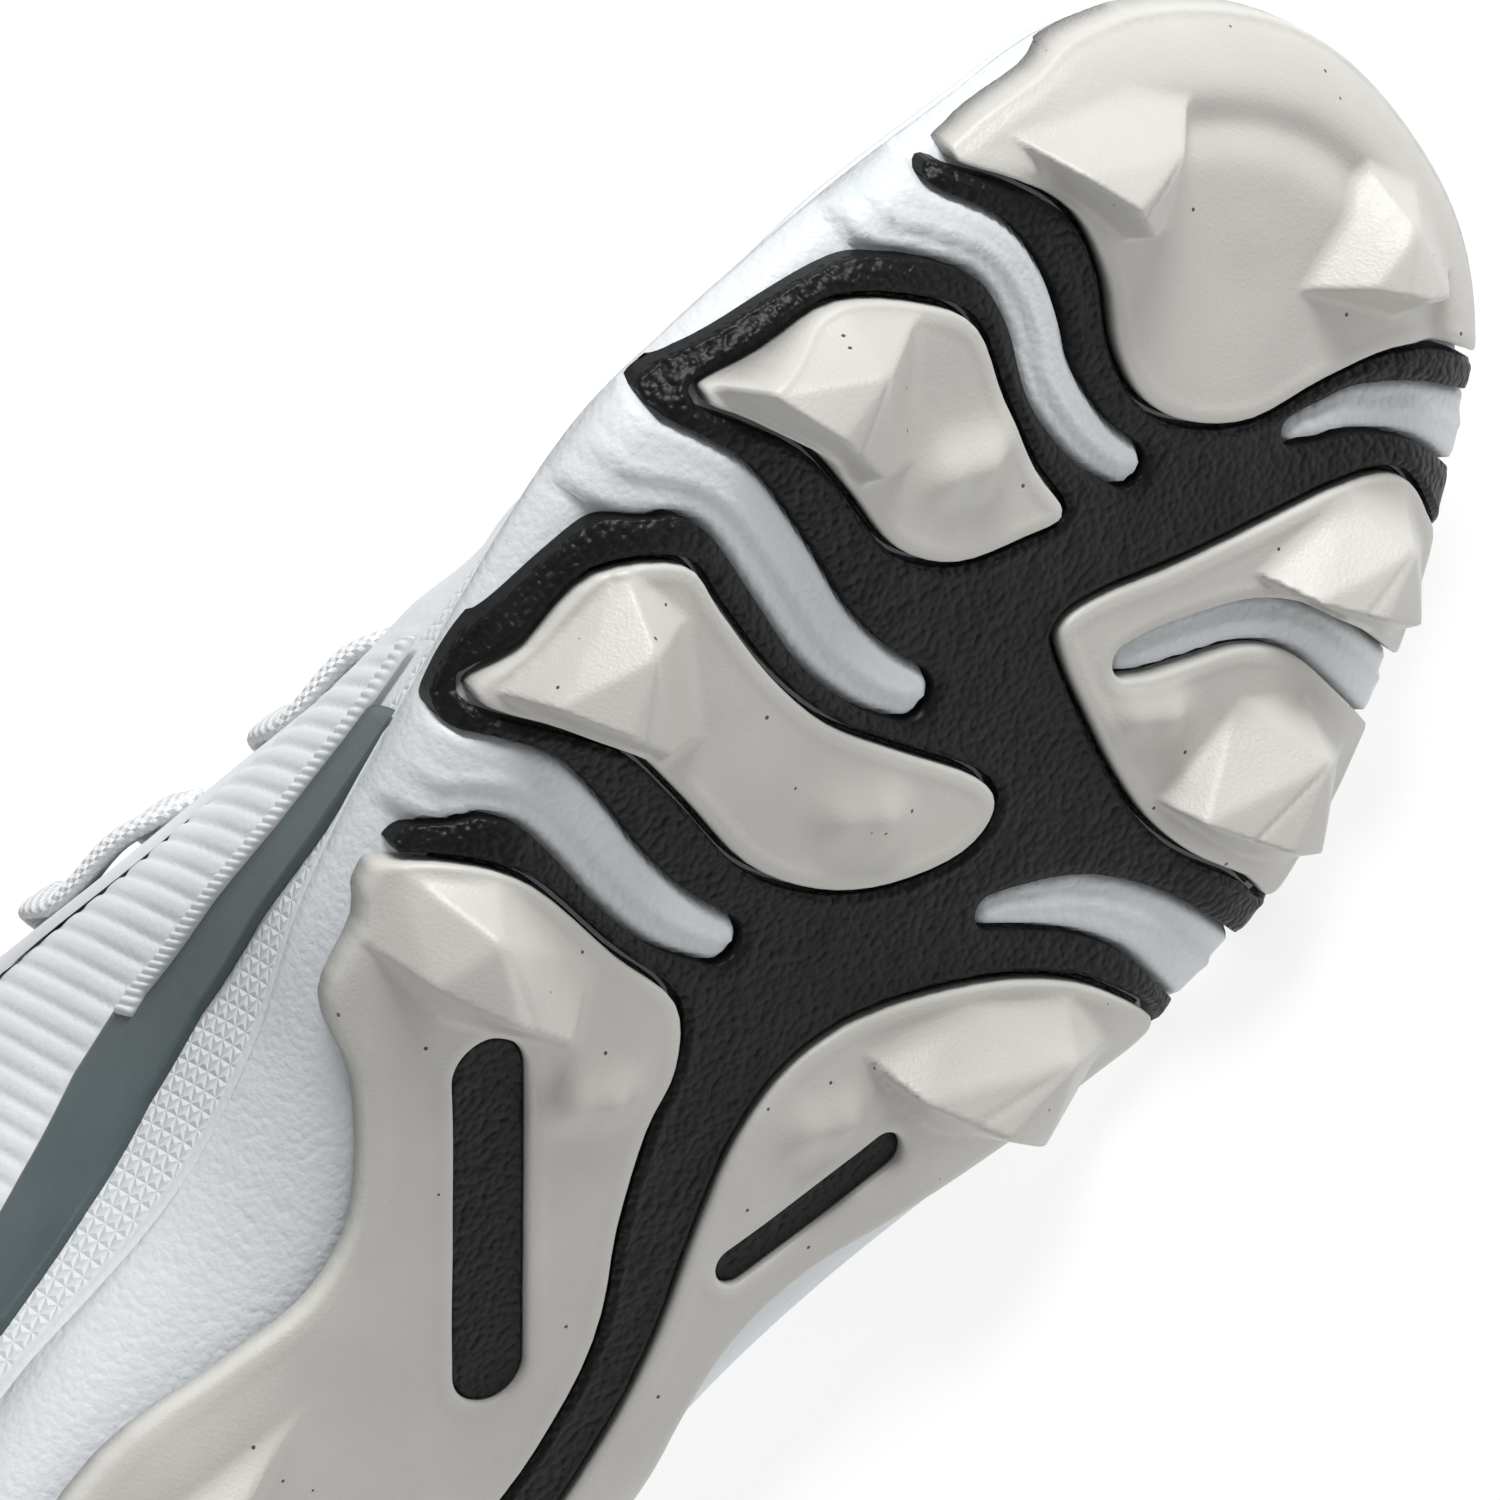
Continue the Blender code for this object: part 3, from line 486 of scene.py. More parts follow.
# outlines of the outsole, x and y in mm
waves = {  # white waves from the open edge to the blind end: x, y, width
    "lateralFront": ((262.5, -50, 8), (264.2, -42, 6.6), (266.3, -36, 5.6), (267.8, -29, 5.4),
                     (265.6, -21.3, 5.6), (260.9, -14, 5.4), (258.8, -5.5, 4.6), (259, 0.3, 3.9)),
    "lateralMiddle": ((227.5, -60, 12), (229, -52, 9.6), (231.3, -46.5, 7.2), (231.8, -40.5, 6.8),
                      (229.4, -31, 7), (226.6, -21.5, 6.6), (226, -13.2, 5.8), (226.8, -8, 5)),
    "lateralRear": ((188.5, -57, 11), (191.8, -49.5, 8.8), (195.2, -45.3, 7.4), (197.1, -40, 6.8),
                    (196.6, -33.5, 6.5), (194.8, -24.5, 6.1), (194.2, -16.5, 5.6), (195.2, -9.8, 4.6)),
    "medialFront": ((285, 50, 8), (284.3, 41, 6.6), (282.6, 32.2, 5), (278.7, 24.4, 4),
                    (275.1, 20.5, 3.2), (272.8, 18.1, 2.4)),
    "medialMiddle": ((257, 60, 7), (257.3, 43, 6), (256.8, 33, 4.4), (253.8, 25.5, 4.2), (248.5, 19.4, 4.2),
                     (244.9, 15.8, 3.8), (243, 13.9, 2.8)),
    "medialRear": ((222, 58, 9), (222.3, 44, 7.8), (222, 36, 6.4), (219.8, 28, 5.6), (216.2, 21.8, 4.2),
                   (213.7, 18.4, 2.9)),
}
waveGrow = 0.4  # each wave is this much wider on both sides
outlines = {
    "toe": ((272.7, -37.7), (276, -36.9), (280, -35), (285, -32.2), (290, -29.6), (296, -24), (306, -13),
            (310.5, 6), (306.5, 28.5), (294.5, 44.5), (290.5, 32),
            (286, 24), (279, 17.5), (271, 11.5), (266.5, 4), (265.5, -3), (268, -9.5), (273, -15.5),
            (276, -23), (275, -31)),
    "front": ((238.5, -50), (246, -46.2), (254, -42), (259, -34), (260.5, -27), (256.5, -19), (252.8, -10.5),
              (251, -4.3), (246.5, -7.3), (240.5, -13), (238, -20.5), (239.8, -29.5), (240.8, -37),
              (239.5, -44.5)),
    "rear": ((201.2, -50.7), (208.3, -49.8), (218, -48.8), (223.8, -42), (222.3, -35), (220, -25),
             (219.4, -15),
             (221.5, -5), (224, 5.5), (222.5, 9.7), (217, 9.5), (210, 4), (205.3, -3.5), (203.3, -13),
             (205, -24), (206, -34), (204, -42)),
    "medial": ((241.5, 3.8), (246, 5.8), (254, 13), (263, 20.3), (272, 28), (276, 34), (275, 41), (272, 46.8),
               (257, 51.2), (243, 53), (233, 52.5), (232.5, 45), (231, 36), (231.3, 28), (233.5, 20),
               (236.5, 12.5), (239, 6.8)),
    "plate": ((181.6, -46.9), (176.5, -44.2), (168, -40.5), (163, -34), (156, -28), (149, -24), (141, -23.2),
              (131, -26), (117, -30.5), (95, -32), (60, -32), (30, -30), (12, -22.5), (3.5, -11), (2, 0),
              (3.5, 11), (12, 22.5), (30, 29), (60, 30.5), (95, 30.5), (125, 31), (142, 29.5), (152, 26),
              (162, 24.2), (172, 26.5), (182, 32.5), (195, 40.5), (206, 45.5), (214, 48.5), (214, 38),
              (211, 29), (205, 20), (197, 12), (189, 8), (180, 7.8), (170, 11), (158, 16), (145, 19.3),
              (130, 20.3), (114, 19), (109, 16), (114, 13), (130, 12.2), (141, 12), (154, 9), (165, 2),
              (175, -3), (182, -5), (187.5, -10), (188, -20), (189.1, -34), (186.6, -42.2)),
    "frame": ((182.6, -46.2), (184.6, -47.2), (187.4, -47.7), (190.5, -47.9), (196, -49.8),
              (197.4, -51.6), (199.4, -53), (203.3, -53.8), (209.8, -53.2), (216.9, -52.6),
              (222.8, -51.4), (226, -49.6), (229.5, -48.5),
              (233.2, -50.5), (234.4, -53.2), (235.8, -54.2), (238.2, -53.5), (244.6, -50.2), (251.1, -47),
              (255.8, -44.4), (259.1, -42), (261.6, -39.3), (264.5, -37.6), (267.6, -38.4), (269.4, -39.3),
              (271.2, -39), (273, -37), (280, -30), (282, 0), (290, 30), (290.5, 43), (277, 48.5),
              (265, 52), (245, 55.5), (232, 56.5), (222, 54.5), (214.5, 51.5), (200, 28), (165, 18.5),
              (140, 22),
              (112, 22), (106, 16), (112, 10), (150, 2), (176, -20)),
}
loops = {key: smoothLine(rows, True, 4) for key, rows in outlines.items()}
waveLines = {key: smoothLine(rows, False, 5) for key, rows in waves.items()}


def waveDepth(points, key):
    # depth inside a wave, and the side of its middle line from -1 to 1
    line = waveLines[key]
    far, place = nearestOn(points, line[:, :2], False)
    half = np.interp(place, np.arange(len(line)), line[:, 2]) / 2 + waveGrow
    i = np.clip(place.astype(int), 0, len(line) - 2)
    along = line[i + 1, :2] - line[i, :2]
    offset = points - line[i, :2]
    side = np.sign(along[:, 0] * offset[:, 1] - along[:, 1] * offset[:, 0])
    return half - far, side * far / half


def inBox(points, low, high, margin):
    return ((points > np.array(low) - margin) & (points < np.array(high) + margin)).all(1)


def nearLoop(points, loop, margin=6.0):
    # depth in an outline, worked out only near it
    found = np.full(len(points), -margin)
    near = inBox(points, loop.min(0), loop.max(0), margin)
    if near.any():
        found[near] = depthIn(points[near], loop)
    return found


def nearWave(points, key, margin=6.0):
    line = waveLines[key][:, :2]
    found, side = np.full(len(points), -margin), np.zeros(len(points))
    near = inBox(points, line.min(0), line.max(0), margin + 5)
    if near.any():
        found[near], side[near] = waveDepth(points[near], key)
    return found, side


# white midsole: underside with raised waves, rounded flank, wall up to the feather line
midsole = {"low": (-2, -60), "high": (310, 60), "step": 0.8, "round": 2.6, "waveProud": 2.3, "waveRound": 1.0,
           "ridge": 0.3, "fall": 0.45}


def midsoleTop(points):
    height = np.zeros(len(points))
    for key in waves:
        depth, side = nearWave(points, key)
        share = np.clip(depth / midsole["waveRound"], 0, 1)
        crown = midsole["waveProud"] * rollOff(depth, midsole["waveRound"])
        ridge = midsole["ridge"] * bell(side - 0.12, 0.14) - midsole["fall"] * smoothStep((side - 0.1) / 0.25)
        height = np.maximum(height, np.where(depth > 0, crown + ridge * share, 0))
    return height


def wallTop(points):
    return readMap(underMap, points) - bedAt(points[:, 0])


makePlate("midsole_foam", midsole, fromEdge, midsoleTop, wallTop, whiteFoam, "midsole")

# black frame: crowned bands between the rubber pieces, thinner towards the edge of the sole
chassis = {"low": (100, -56), "high": (294, 56), "step": 0.5, "round": 0.3, "tall": 2.95, "edgeRound": 1.5,
           "edgeDrop": 1.0, "lip": 0.3, "groove": 0.8, "slot": 0.2, "cornerSoft": 0.7, "over": 1.0,
           "medialOver": 0.1, "thinRun": 4.5, "thin": 1.4, "seat": 0.05}
pods = ("toe", "front", "rear", "medial", "plate")


def besidePod(points, key):
    return -(nearLoop(points, loops[key]) + chassis["groove"])


def frameDepth(points):
    over = np.where(points[:, 1] < 0, chassis["over"], chassis["medialOver"])
    found = [nearLoop(points, loops["frame"]), fromEdge(points) + over]
    found += [-(nearWave(points, key)[0] + chassis["slot"]) for key in waves]
    return np.min([softMin(found, chassis["cornerSoft"])] + [besidePod(points, key) for key in pods], 0)


def edgeFall(points):
    # how far the rounded edge of the midsole has dropped away
    reach = midsole["round"]
    return reach - np.sqrt(reach**2 - (reach - np.clip(fromEdge(points), 0, reach)) ** 2)


def topFall(points):
    # the same, without the steep last part
    reach = midsole["round"]
    return reach * np.clip((reach - fromEdge(points)) / (reach + 1), 0, 1) ** 2.2


def frameTop(points):
    inward = np.clip(1 - frameDepth(points) / chassis["edgeRound"], 0, 1)
    height = chassis["tall"] - chassis["edgeDrop"] * (1 - np.sqrt(1 - 0.96 * inward**2))
    for key in pods:  # smooth lip round each rubber piece
        height = height + chassis["lip"] * bell(besidePod(points, key) - 0.75, 0.4)
    outer = np.clip(1 - (fromEdge(points) + chassis["over"]) / chassis["thinRun"], 0, 1)
    height = height - topFall(points) - chassis["thin"] * outer**2
    return height + 0.10 * softNoise(points, 2.4, 3) + 0.12 * softNoise(points, 9, 5)


def frameSeat(points):
    return chassis["seat"] - edgeFall(points)


makePlate("frame_black", chassis, frameDepth, frameTop, frameSeat, blackFrame, "chassis")

# thin black floors under the rubber, so that the grooves round it are black
floors = {"low": (100, -56), "high": (300, 56), "step": 1.1, "round": 0.15, "tall": 0.75, "inset": 5.2,
          "past": 0.35, "clear": 0.3}


def floorDepth(points):
    found = np.max([nearLoop(points, loops[key]) for key in pods], 0) + floors["past"]
    limits = [fromEdge(points) - floors["inset"], nearLoop(points, loops["frame"])]
    limits += [-(nearWave(points, key)[0] + floors["clear"]) for key in waves]
    return np.min([found] + limits, 0)


makePlate("frame_floors", floors, floorDepth, lambda points: np.full(len(points), floors["tall"]), frameSeat,
          blackFrame, "chassis", stands=False)

# grey rubber pieces: studs as soft-edged facets, low nubs, rounded rims
studs = {
    "toeLateral": ("toe", ((287, -19.5, 10), (279, -28.5, 9), (279.5, -23, 11.5), (278.5, -17.5, 9)),
                   ((278, -34), (290, -24), (293.5, -16), (281, -11), (276.8, -16), (277, -26))),
    "toeMedial": ("toe", ((297, 14, 10), (293.5, 23, 9), (291.5, 18, 11.5), (289, 12.5, 9)),
                  ((284, 8), (300, 9.5), (302, 19), (297, 28), (288.5, 22), (287, 15))),
    "front": ("front", ((251, -39, 10.5), (242.5, -48, 9.5), (243, -41, 11.8), (242.5, -32, 9)),
              ((239.4, -49), (254, -41.6), (258.5, -34), (246, -25), (240.6, -29), (240.3, -44))),
    "rear": ("rear", ((215, -44, 10.5), (205, -48.4, 9.5), (207, -42, 11.8), (208, -34.5, 9)),
             ((202.6, -50), (220.5, -47.4), (220, -38), (211, -27.5), (206, -30), (204, -45))),
    "waistLateral": ("plate", ((183, -38.5, 10.5), (175.3, -40, 9.5), (177, -32, 11.8), (178.5, -23, 9)),
                     ((175, -43.5), (183, -46), (188, -38), (186.5, -22), (178, -17), (173, -33))),
    "medialFront": ("medial", ((270, 34, 10.5), (264.5, 41.5, 9.5), (262.3, 34, 11.8), (259.5, 27, 9)),
                    ((259.5, 22.5), (271, 27.5), (275.5, 35), (272, 43.5), (262, 45), (260, 33))),
    "medialRear": ("medial", ((247, 39, 10.5), (239, 46.5, 9.5), (237, 40, 11.8), (234, 30, 9)),
                   ((233, 27), (247, 30), (251.5, 37), (250, 47.5), (236.5, 50), (233.8, 42))),
    "waistMedial": ("plate", ((206, 33, 10.5), (197, 38, 9.5), (195.5, 30, 11.8), (193.5, 20, 9)),
                    ((194, 14.5), (204, 21.5), (211.5, 33), (210, 43), (196, 40), (191.5, 28))),
    "heelLateralFront": ("plate", ((112, -19, 9.5), (92, -28, 9.5), (94, -21, 11.8), (92, -12, 9)),
                         ((86, -31), (108, -26.5), (133, -16.5), (115, -12), (87, -8), (85, -20))),
    "heelMedialFront": ("plate", ((99, 20, 9.5), (89, 12, 9), (90, 20.5, 11.8), (88, 27, 9.5)),
                        ((86, 29.5), (104, 26), (116, 20), (104, 12), (87, 8), (85, 20))),
    "heelLateralRear": ("plate", ((43, -17, 9.5), (31, -26, 9.5), (31, -18, 11.8), (29, -9, 9)),
                        ((27, -27.5), (46, -24), (58, -17), (47, -9), (28, -5), (25, -17))),
    "heelMedialRear": ("plate", ((43, 17, 9.5), (29, 9, 9), (31, 18, 11.8), (31, 25, 9.5)),
                       ((27, 27), (46, 23.5), (58, 17), (47, 9), (28, 5), (25, 17))),
}
nubs = (  # piece, x, y, height, reach in x and y
    ("front", 249, -19, 6.5, 6, 4.5),
    ("rear", 214, -5, 6.5, 5, 6),
    ("plate", 174.8, -12.2, 6.8, 5, 5),
    ("medial", 240, 20, 6.2, 4.5, 5),
    ("plate", 186, 15.5, 6.2, 5.5, 4.5),
)
nubLobes = ((1.0, 0.25, 0.35), (0.8, -0.3, -0.4))  # share of the height, middle in reaches
rubber = {"high": 3.5, "footHigh": 2.6, "facetSoft": 0.1, "fillet": 1.5, "lip": 0.12, "crease": 0.28,
          "creaseHalf": 0.3, "toeBand": 9.5, "toeTrough": 1.0, "toeRoll": 0.6, "uneven": 0.16,
          "nubRise": 0.72, "nubRound": 0.559, "round": 0.6, "seat": 1.0, "edgeSeat": 0.1,
          "slimFrom": 5, "slimRun": 3}


def facetPlanes(points):
    bm = bmesh.new()
    bmesh.ops.convex_hull(bm, input=[bm.verts.new(p) for p in points])
    bm.normal_update()
    planes = [(*face.normal, face.normal.dot(face.verts[0].co)) for face in bm.faces if face.normal.z > 0.03]
    bm.free()
    return sorted(set(tuple(round(v, 5) for v in plane) for plane in planes))


studPlanes = {}
for key, (piece, tops, foot) in studs.items():
    corners = [(x, y, height + sole["gap"]) for x, y, height in tops]
    corners += [(x, y, rubber["footHigh"]) for x, y in foot]
    studPlanes[key] = (piece, facetPlanes(corners), np.array(foot, float), np.array(tops, float))


def rubberTop(piece, depth):
    def top(points):
        height = rubber["high"] + rubber["lip"] * bell(depth(points) - 1.3, 0.6)
        height = height + rubber["uneven"] * softNoise(points, 7, 11) - topFall(points)
        if piece == "toe":  # rounded band over the toe with a trough inside it
            reach = fromEdge(points)
            height = height - rubber["toeTrough"] * bell(reach - rubber["toeBand"], 2.3)
            height = height + rubber["toeRoll"] * hump(reach, 0.5, rubber["toeBand"])
        for owner, planes, foot, tops in studPlanes.values():
            near = inBox(points, foot.min(0), foot.max(0), 6)
            if owner != piece or not near.any():
                continue
            x, y = points[near].T
            rise = softMin([(d - nx * x - ny * y) / nz for nx, ny, nz, d in planes], rubber["facetSoft"])
            crease = np.array([tops[0, :2], tops[1, :2] * 0.35 + tops[3, :2] * 0.65])
            far = nearestOn(points[near], crease, False)[0]
            rise = rise - rubber["crease"] * bell(far, rubber["creaseHalf"])
            height[near] = softMax(height[near], rise, rubber["fillet"])
        for owner, x, y, crest, reachX, reachY in nubs:
            if owner != piece:
                continue
            u, v = (points[:, 0] - x) / reachX, (points[:, 1] - y) / reachY
            for share, du, dv in nubLobes:
                lobe = bell(np.hypot(u - du, v - dv), rubber["nubRound"])
                height = height + rubber["nubRise"] * (crest - rubber["high"]) * share * lobe
        return height
    return top


def rubberSeat(points):
    outer = np.clip((rubber["slimFrom"] - fromEdge(points)) / rubber["slimRun"], 0, 1)
    return rubber["seat"] - (rubber["seat"] - rubber["edgeSeat"]) * outer - edgeFall(points)


def rubberPiece(name, key, slot, step, low, high, cuts=(), windows=(), over=-0.8):
    def depth(points):
        found = np.minimum(nearLoop(points, loops[key]), fromEdge(points) + over)
        for cut in cuts:
            found = np.minimum(found, -(nearWave(points, cut)[0] + chassis["slot"]))
        for start, end, half in windows:
            found = np.minimum(found, nearestOn(points, np.array([start, end], float), False)[0] - half)
        return found

    shape = {"low": low, "high": high, "step": step, "round": rubber["round"]}
    return makePlate(name, shape, depth, rubberTop(key, depth), rubberSeat, greyRubber, slot)


windowSpan = ((171, -24), (146, 0), 4.2)  # plain long window in the lateral arm
barSpan = ((187, 25), (168.5, 17.8), 2.2)  # plain slim recess in the medial arm
rubberPiece("pod_toe", "toe", "toe_pod", 0.45, (262, -44), (312, 48), over=0.6)
rubberPiece("pod_lateral_front", "front", "lateral_pod_front", 0.4, (235, -54), (264, -1))
rubberPiece("pod_lateral_rear", "rear", "lateral_pod_rear", 0.4, (199, -56), (227, 13))
rubberPiece("pod_medial", "medial", "medial_pod", 0.4, (228, 1), (279, 56), cuts=("medialMiddle",))
rubberPiece("plate_rear", "plate", "rear_plate", 0.6, (-1, -51), (217, 51), windows=(windowSpan, barSpan))

# black faces at the bottom of the windows in the rubber
for name, (start, end, half), high in (("window_face", windowSpan, 2.7), ("bar_face", barSpan, 2.5)):
    line = np.array([start, end], float)
    shape = {"low": line.min(0) - 8, "high": line.max(0) + 8, "step": 0.6, "round": 0.4}
    makePlate(name, shape, lambda points: half - 0.12 - nearestOn(points, line, False)[0],
              lambda points: high + 0.06 * softNoise(points, 3, 8), frameSeat, blackFrame, "chassis",
              stands=False)

# upper: the wall's sections from heel to toe, as in the solids
# places run round it, lateral 0 to 9, medial 9 to 18
upper = {
    "rows": (  # foot x, top x, lateral y, medial y, top z, bulge and rise of each side, reach, drop
        (0, 7, 0, 0, 96, 4, 22, 4, 22, 0.1, 22), (14, 18, -19, 19, 92, 3.5, 22, 2.5, 22, 0.15, 22),
        (46, 48, -29, 28, 79, 2.5, 20, 1, 20, 0.35, 18), (88, 82, -31, 30, 73, 2, 18, 1, 18, 0.45, 14),
        (120, 109, -27, 27.5, 86, 2, 18, 2.5, 18, 0.5, 20), (152, 130, -16, 21, 103, 0, 18, 3, 20, 0.56, 22),
        (190, 161, -11.5, 19.5, 93, -4.2, 16, 3, 21, 0.5, 24),
        (235, 193, -7, 18, 83, -9.5, 10, 2, 20, 0.45, 27),
        (277, 210, -1, 13.5, 78, -5, 12, 0, 19, 0.45, 23), (307, 214.5, 6, 6, 76.5, -3, 19, -3, 19, 0.5, 16),
    ),
    "inset": 1.5, "seat": 0.4, "wall": 2.0, "up": 64, "lining": 24, "coarse": 1.9, "fine": 0.5,
    "collarPad": 4.2, "collarSwell": 1.3, "ribPitch": 2.7, "ribDeep": 0.42, "ribHalf": 0.42,
    "ribProud": 0.12, "feather": 0.9, "counter": 0.5, "toeRand": 0.6, "backSeam": 0.5, "uneven": 0.25,
    "creases": (  # place, lean, lowest and highest share, depth, half width in places
        (6.75, 0.55, 0.2, 0.82, 0.9, 0.085), (7.25, 0.5, 0.12, 0.86, 1.1, 0.09),
        (7.75, 0.35, 0.2, 0.9, 0.8, 0.08), (11.3, -0.5, 0.16, 0.85, 0.9, 0.085),
        (10.8, -0.45, 0.12, 0.86, 1.1, 0.09), (10.3, -0.3, 0.2, 0.9, 0.7, 0.08),
        (1.35, 0.25, 0.3, 0.8, 0.6, 0.07), (16.6, -0.25, 0.3, 0.8, 0.6, 0.07),
    ),
}
soleAlong = np.roll(soleEdge, -1, 0) - np.roll(soleEdge, 1, 0)
soleOut = unit(np.stack([soleAlong[:, 1], -soleAlong[:, 0]], 1))
soleRun = runOf(np.vstack([soleEdge, soleEdge[:1]]))
toeIndex = int(np.argmax(soleEdge[:, 0]))


def ringTable():
    # run along the sole's edge, top x y z, bulge, rise, reach and drop of each ring place
    table = []
    for row in upper["rows"]:
        run = np.interp(row[0], soleEdge[:toeIndex + 1, 0], soleRun[:toeIndex + 1])
        table.append((run, row[1], row[2], row[4], row[5], row[6], row[9], row[10]))
    for row in upper["rows"][-2:0:-1]:
        run = np.interp(row[0], soleEdge[toeIndex:, 0][::-1], soleRun[:-1][toeIndex:][::-1])
        table.append((run, row[1], row[3], row[4], row[7], row[8], row[9], row[10]))
    return np.array(table, float)


upperTable = ringTable()
ringCount = len(upperTable)
lap = np.array([soleRun[-1]] + [0] * 7)


def sectionOf(place):
    return np.minimum(place, ringCount - place)


def onEdge(values, run):
    closed = np.vstack([values, values[:1]])
    return np.stack([np.interp(run, soleRun, closed[:, n]) for n in (0, 1)], -1)


def skinAt(place, share):
    # points of the upper's outside
    place, share = np.broadcast_arrays(np.asarray(place, float), np.asarray(share, float))
    i = np.floor(place).astype(int)
    t = (place - i)[..., None]
    a, b, c, d = (upperTable[(i + n) % ringCount] + ((i + n) // ringCount)[..., None] * lap
                  for n in (-1, 0, 1, 2))
    bend = (2 * a - 5 * b + 4 * c - d) * t**2 + (3 * b - a - 3 * c + d) * t**3
    values = b + 0.5 * ((c - a) * t + bend)
    run = values[..., 0] % soleRun[-1]
    out = unit(onEdge(soleOut, run))
    edge = onEdge(soleEdge, run) - out * upper["inset"]
    foot = np.concatenate([edge, bedAt(edge[..., :1]) + upper["seat"]], -1)
    top = values[..., 1:4]
    low = foot + np.concatenate([out * values[..., 4:5], values[..., 5:6]], -1)
    high = top + np.concatenate([(foot - top)[..., :2] * values[..., 6:7], -values[..., 7:8]], -1)
    s = share[..., None]
    q = 1 - s
    return q**3 * foot + 3 * q * q * s * low + 3 * q * s * s * high + s**3 * top


def skinOut(place, share):
    step = 0.02
    along = skinAt(place + step, share) - skinAt(place - step, share)
    up = skinAt(place, np.minimum(share + step, 1)) - skinAt(place, np.maximum(share - step, 0))
    return unit(np.cross(along, up))


def offSkin(place, share, lift):
    return skinAt(place, share) + skinOut(place, share) * np.asarray(lift, float)[..., None]


def spacedPlaces(first, last, share, spacing):
    # places along the skin with that spacing in mm, one size or a function of the place
    fine = np.linspace(first, last, 3001)
    steps = np.linalg.norm(np.diff(skinAt(fine, share), axis=0), axis=1)
    size = spacing((fine[1:] + fine[:-1]) / 2) if callable(spacing) else spacing
    count = np.concatenate([[0], np.cumsum(steps / size)])
    return np.interp(np.linspace(0, count[-1], int(count[-1]) + 1), count, fine)


def makeTube(name, grid, materials, slot, stands=True, closed=False, marks=None, lining=None):
    # a skin through closed loops in the upright shoe; its ends are joined or capped, its map is in mm
    count, girth = grid.shape[:2]
    points = grid.reshape(-1, 3)
    middle = grid[:, girth // 8]
    lengthRun = runOf(np.vstack([middle, middle[:1]]) if closed else middle)
    girthRun = np.zeros((len(lengthRun), girth + 1))
    girthRun[:count, 1:] = np.cumsum(np.linalg.norm(np.roll(grid, -1, 1) - grid, axis=2), 1)
    girthRun[count:] = girthRun[0]
    spans = np.arange(len(lengthRun) - 1)
    i, j = (part.ravel() for part in np.meshgrid(spans, np.arange(girth), indexing="ij"))
    corners = [(i, j), (i + 1, j), (i + 1, j + 1), (i, j + 1)]
    quads = np.stack([a % count * girth + b % girth for a, b in corners], 1)
    spots = np.stack([np.stack([lengthRun[a], girthRun[a, b]], 1) for a, b in corners], 1)
    faces, maps = quads.tolist(), list(spots)
    kinds = np.zeros(len(quads), int) if lining is None else lining[j].astype(int)
    if not closed:
        points = np.vstack([points, grid[0].mean(0), grid[-1].mean(0)])
        for row, centre in ((0, len(points) - 2), (count - 1, len(points) - 1)):
            ring = np.arange(girth) + row * girth
            for a, b in zip(ring, np.roll(ring, -1)):
                faces.append([a, centre, b] if row == 0 else [a, b, centre])
                maps.append(np.full((3, 2), lengthRun[row]))
        kinds = np.concatenate([kinds, np.zeros(2 * girth, int)])
    p = (points[quads] - points.mean(0)).swapaxes(0, 1)
    if (np.cross(p[0], p[1]) * p[2]).sum() + (np.cross(p[0], p[2]) * p[3]).sum() < 0:  # inside out
        faces, maps = [face[::-1] for face in faces], [spot[::-1] for spot in maps]
    mesh = bpy.data.meshes.new(name)
    mesh.from_pydata(toFrame(points).tolist(), [], faces)
    mesh.shade_smooth()
    mesh.polygons.foreach_set("material_index", kinds)
    layer = mesh.uv_layers.new(name="mm")
    layer.data.foreach_set("uv", np.concatenate(maps).ravel().astype(np.float32))
    for key, values in (marks or {}).items():
        addMark(mesh, key, np.concatenate([values.ravel(), np.zeros(len(points) - values.size)]))
    return addPiece(name, mesh, materials, slot, stands)


whiteSynthetic = makeFinish(
    "white synthetic leather", light=(0.70, 0.725, 0.75), dark=(0.64, 0.665, 0.69), patch=22,
    rough=(0.40, 0.55), grain=(("noise", 0.45, 0.6), ("cells", 1.0, 0.5)), grainDeep=0.1, specular=0.4,
    pattern={"size": 1.9, "ways": (0, 60, 120), "deep": 3.2, "mask": "facets", "join": "MINIMUM"})
liningCloth = makeFinish(
    "lining cloth", light=(0.52, 0.53, 0.55), dark=(0.44, 0.45, 0.47), patch=12, rough=(0.8, 0.92),
    grain=(("noise", 0.4, 0.4),), grainDeep=0.16, sheen=0.3,
    pattern={"size": 1.0, "ways": (45, 135), "deep": 1.0})
# the ribbed overlay's near-black hole tint is painted shade inside the eyelet holes
ribbedWhite = makeFinish(
    "white ribbed overlay", light=(0.71, 0.73, 0.75), dark=(0.65, 0.67, 0.69), patch=16, rough=(0.42, 0.56),
    grain=(("noise", 0.35, 0.5), ("noise", 1.6, 0.4)), grainDeep=0.08, stain=("hole", (0.012, 0.012, 0.013)))
greyGreenFilm = makeFinish(
    "grey green film", light=(0.085, 0.112, 0.118), dark=(0.066, 0.09, 0.095), patch=10, rough=(0.36, 0.5),
    grain=(("noise", 0.3, 0.8), ("noise", 1.4, 0.3)), grainDeep=0.05, specular=0.45)
laceWeave = makeFinish(
    "woven lace", light=(0.80, 0.815, 0.83), dark=(0.72, 0.74, 0.76), patch=8, rough=(0.7, 0.86),
    grain=(("noise", 0.3, 0.4),), grainDeep=0.22, sheen=0.25,
    pattern={"size": 1.15, "ways": (35, 145), "deep": 1.0})
tongueCloth = makeFinish(
    "tongue cloth", light=(0.66, 0.685, 0.71), dark=(0.58, 0.605, 0.63), patch=14, rough=(0.72, 0.88),
    grain=(("noise", 0.5, 0.4),), grainDeep=0.25, sheen=0.2,
    pattern={"size": 1.6, "ways": (0, 60, 120), "deep": 0.8})
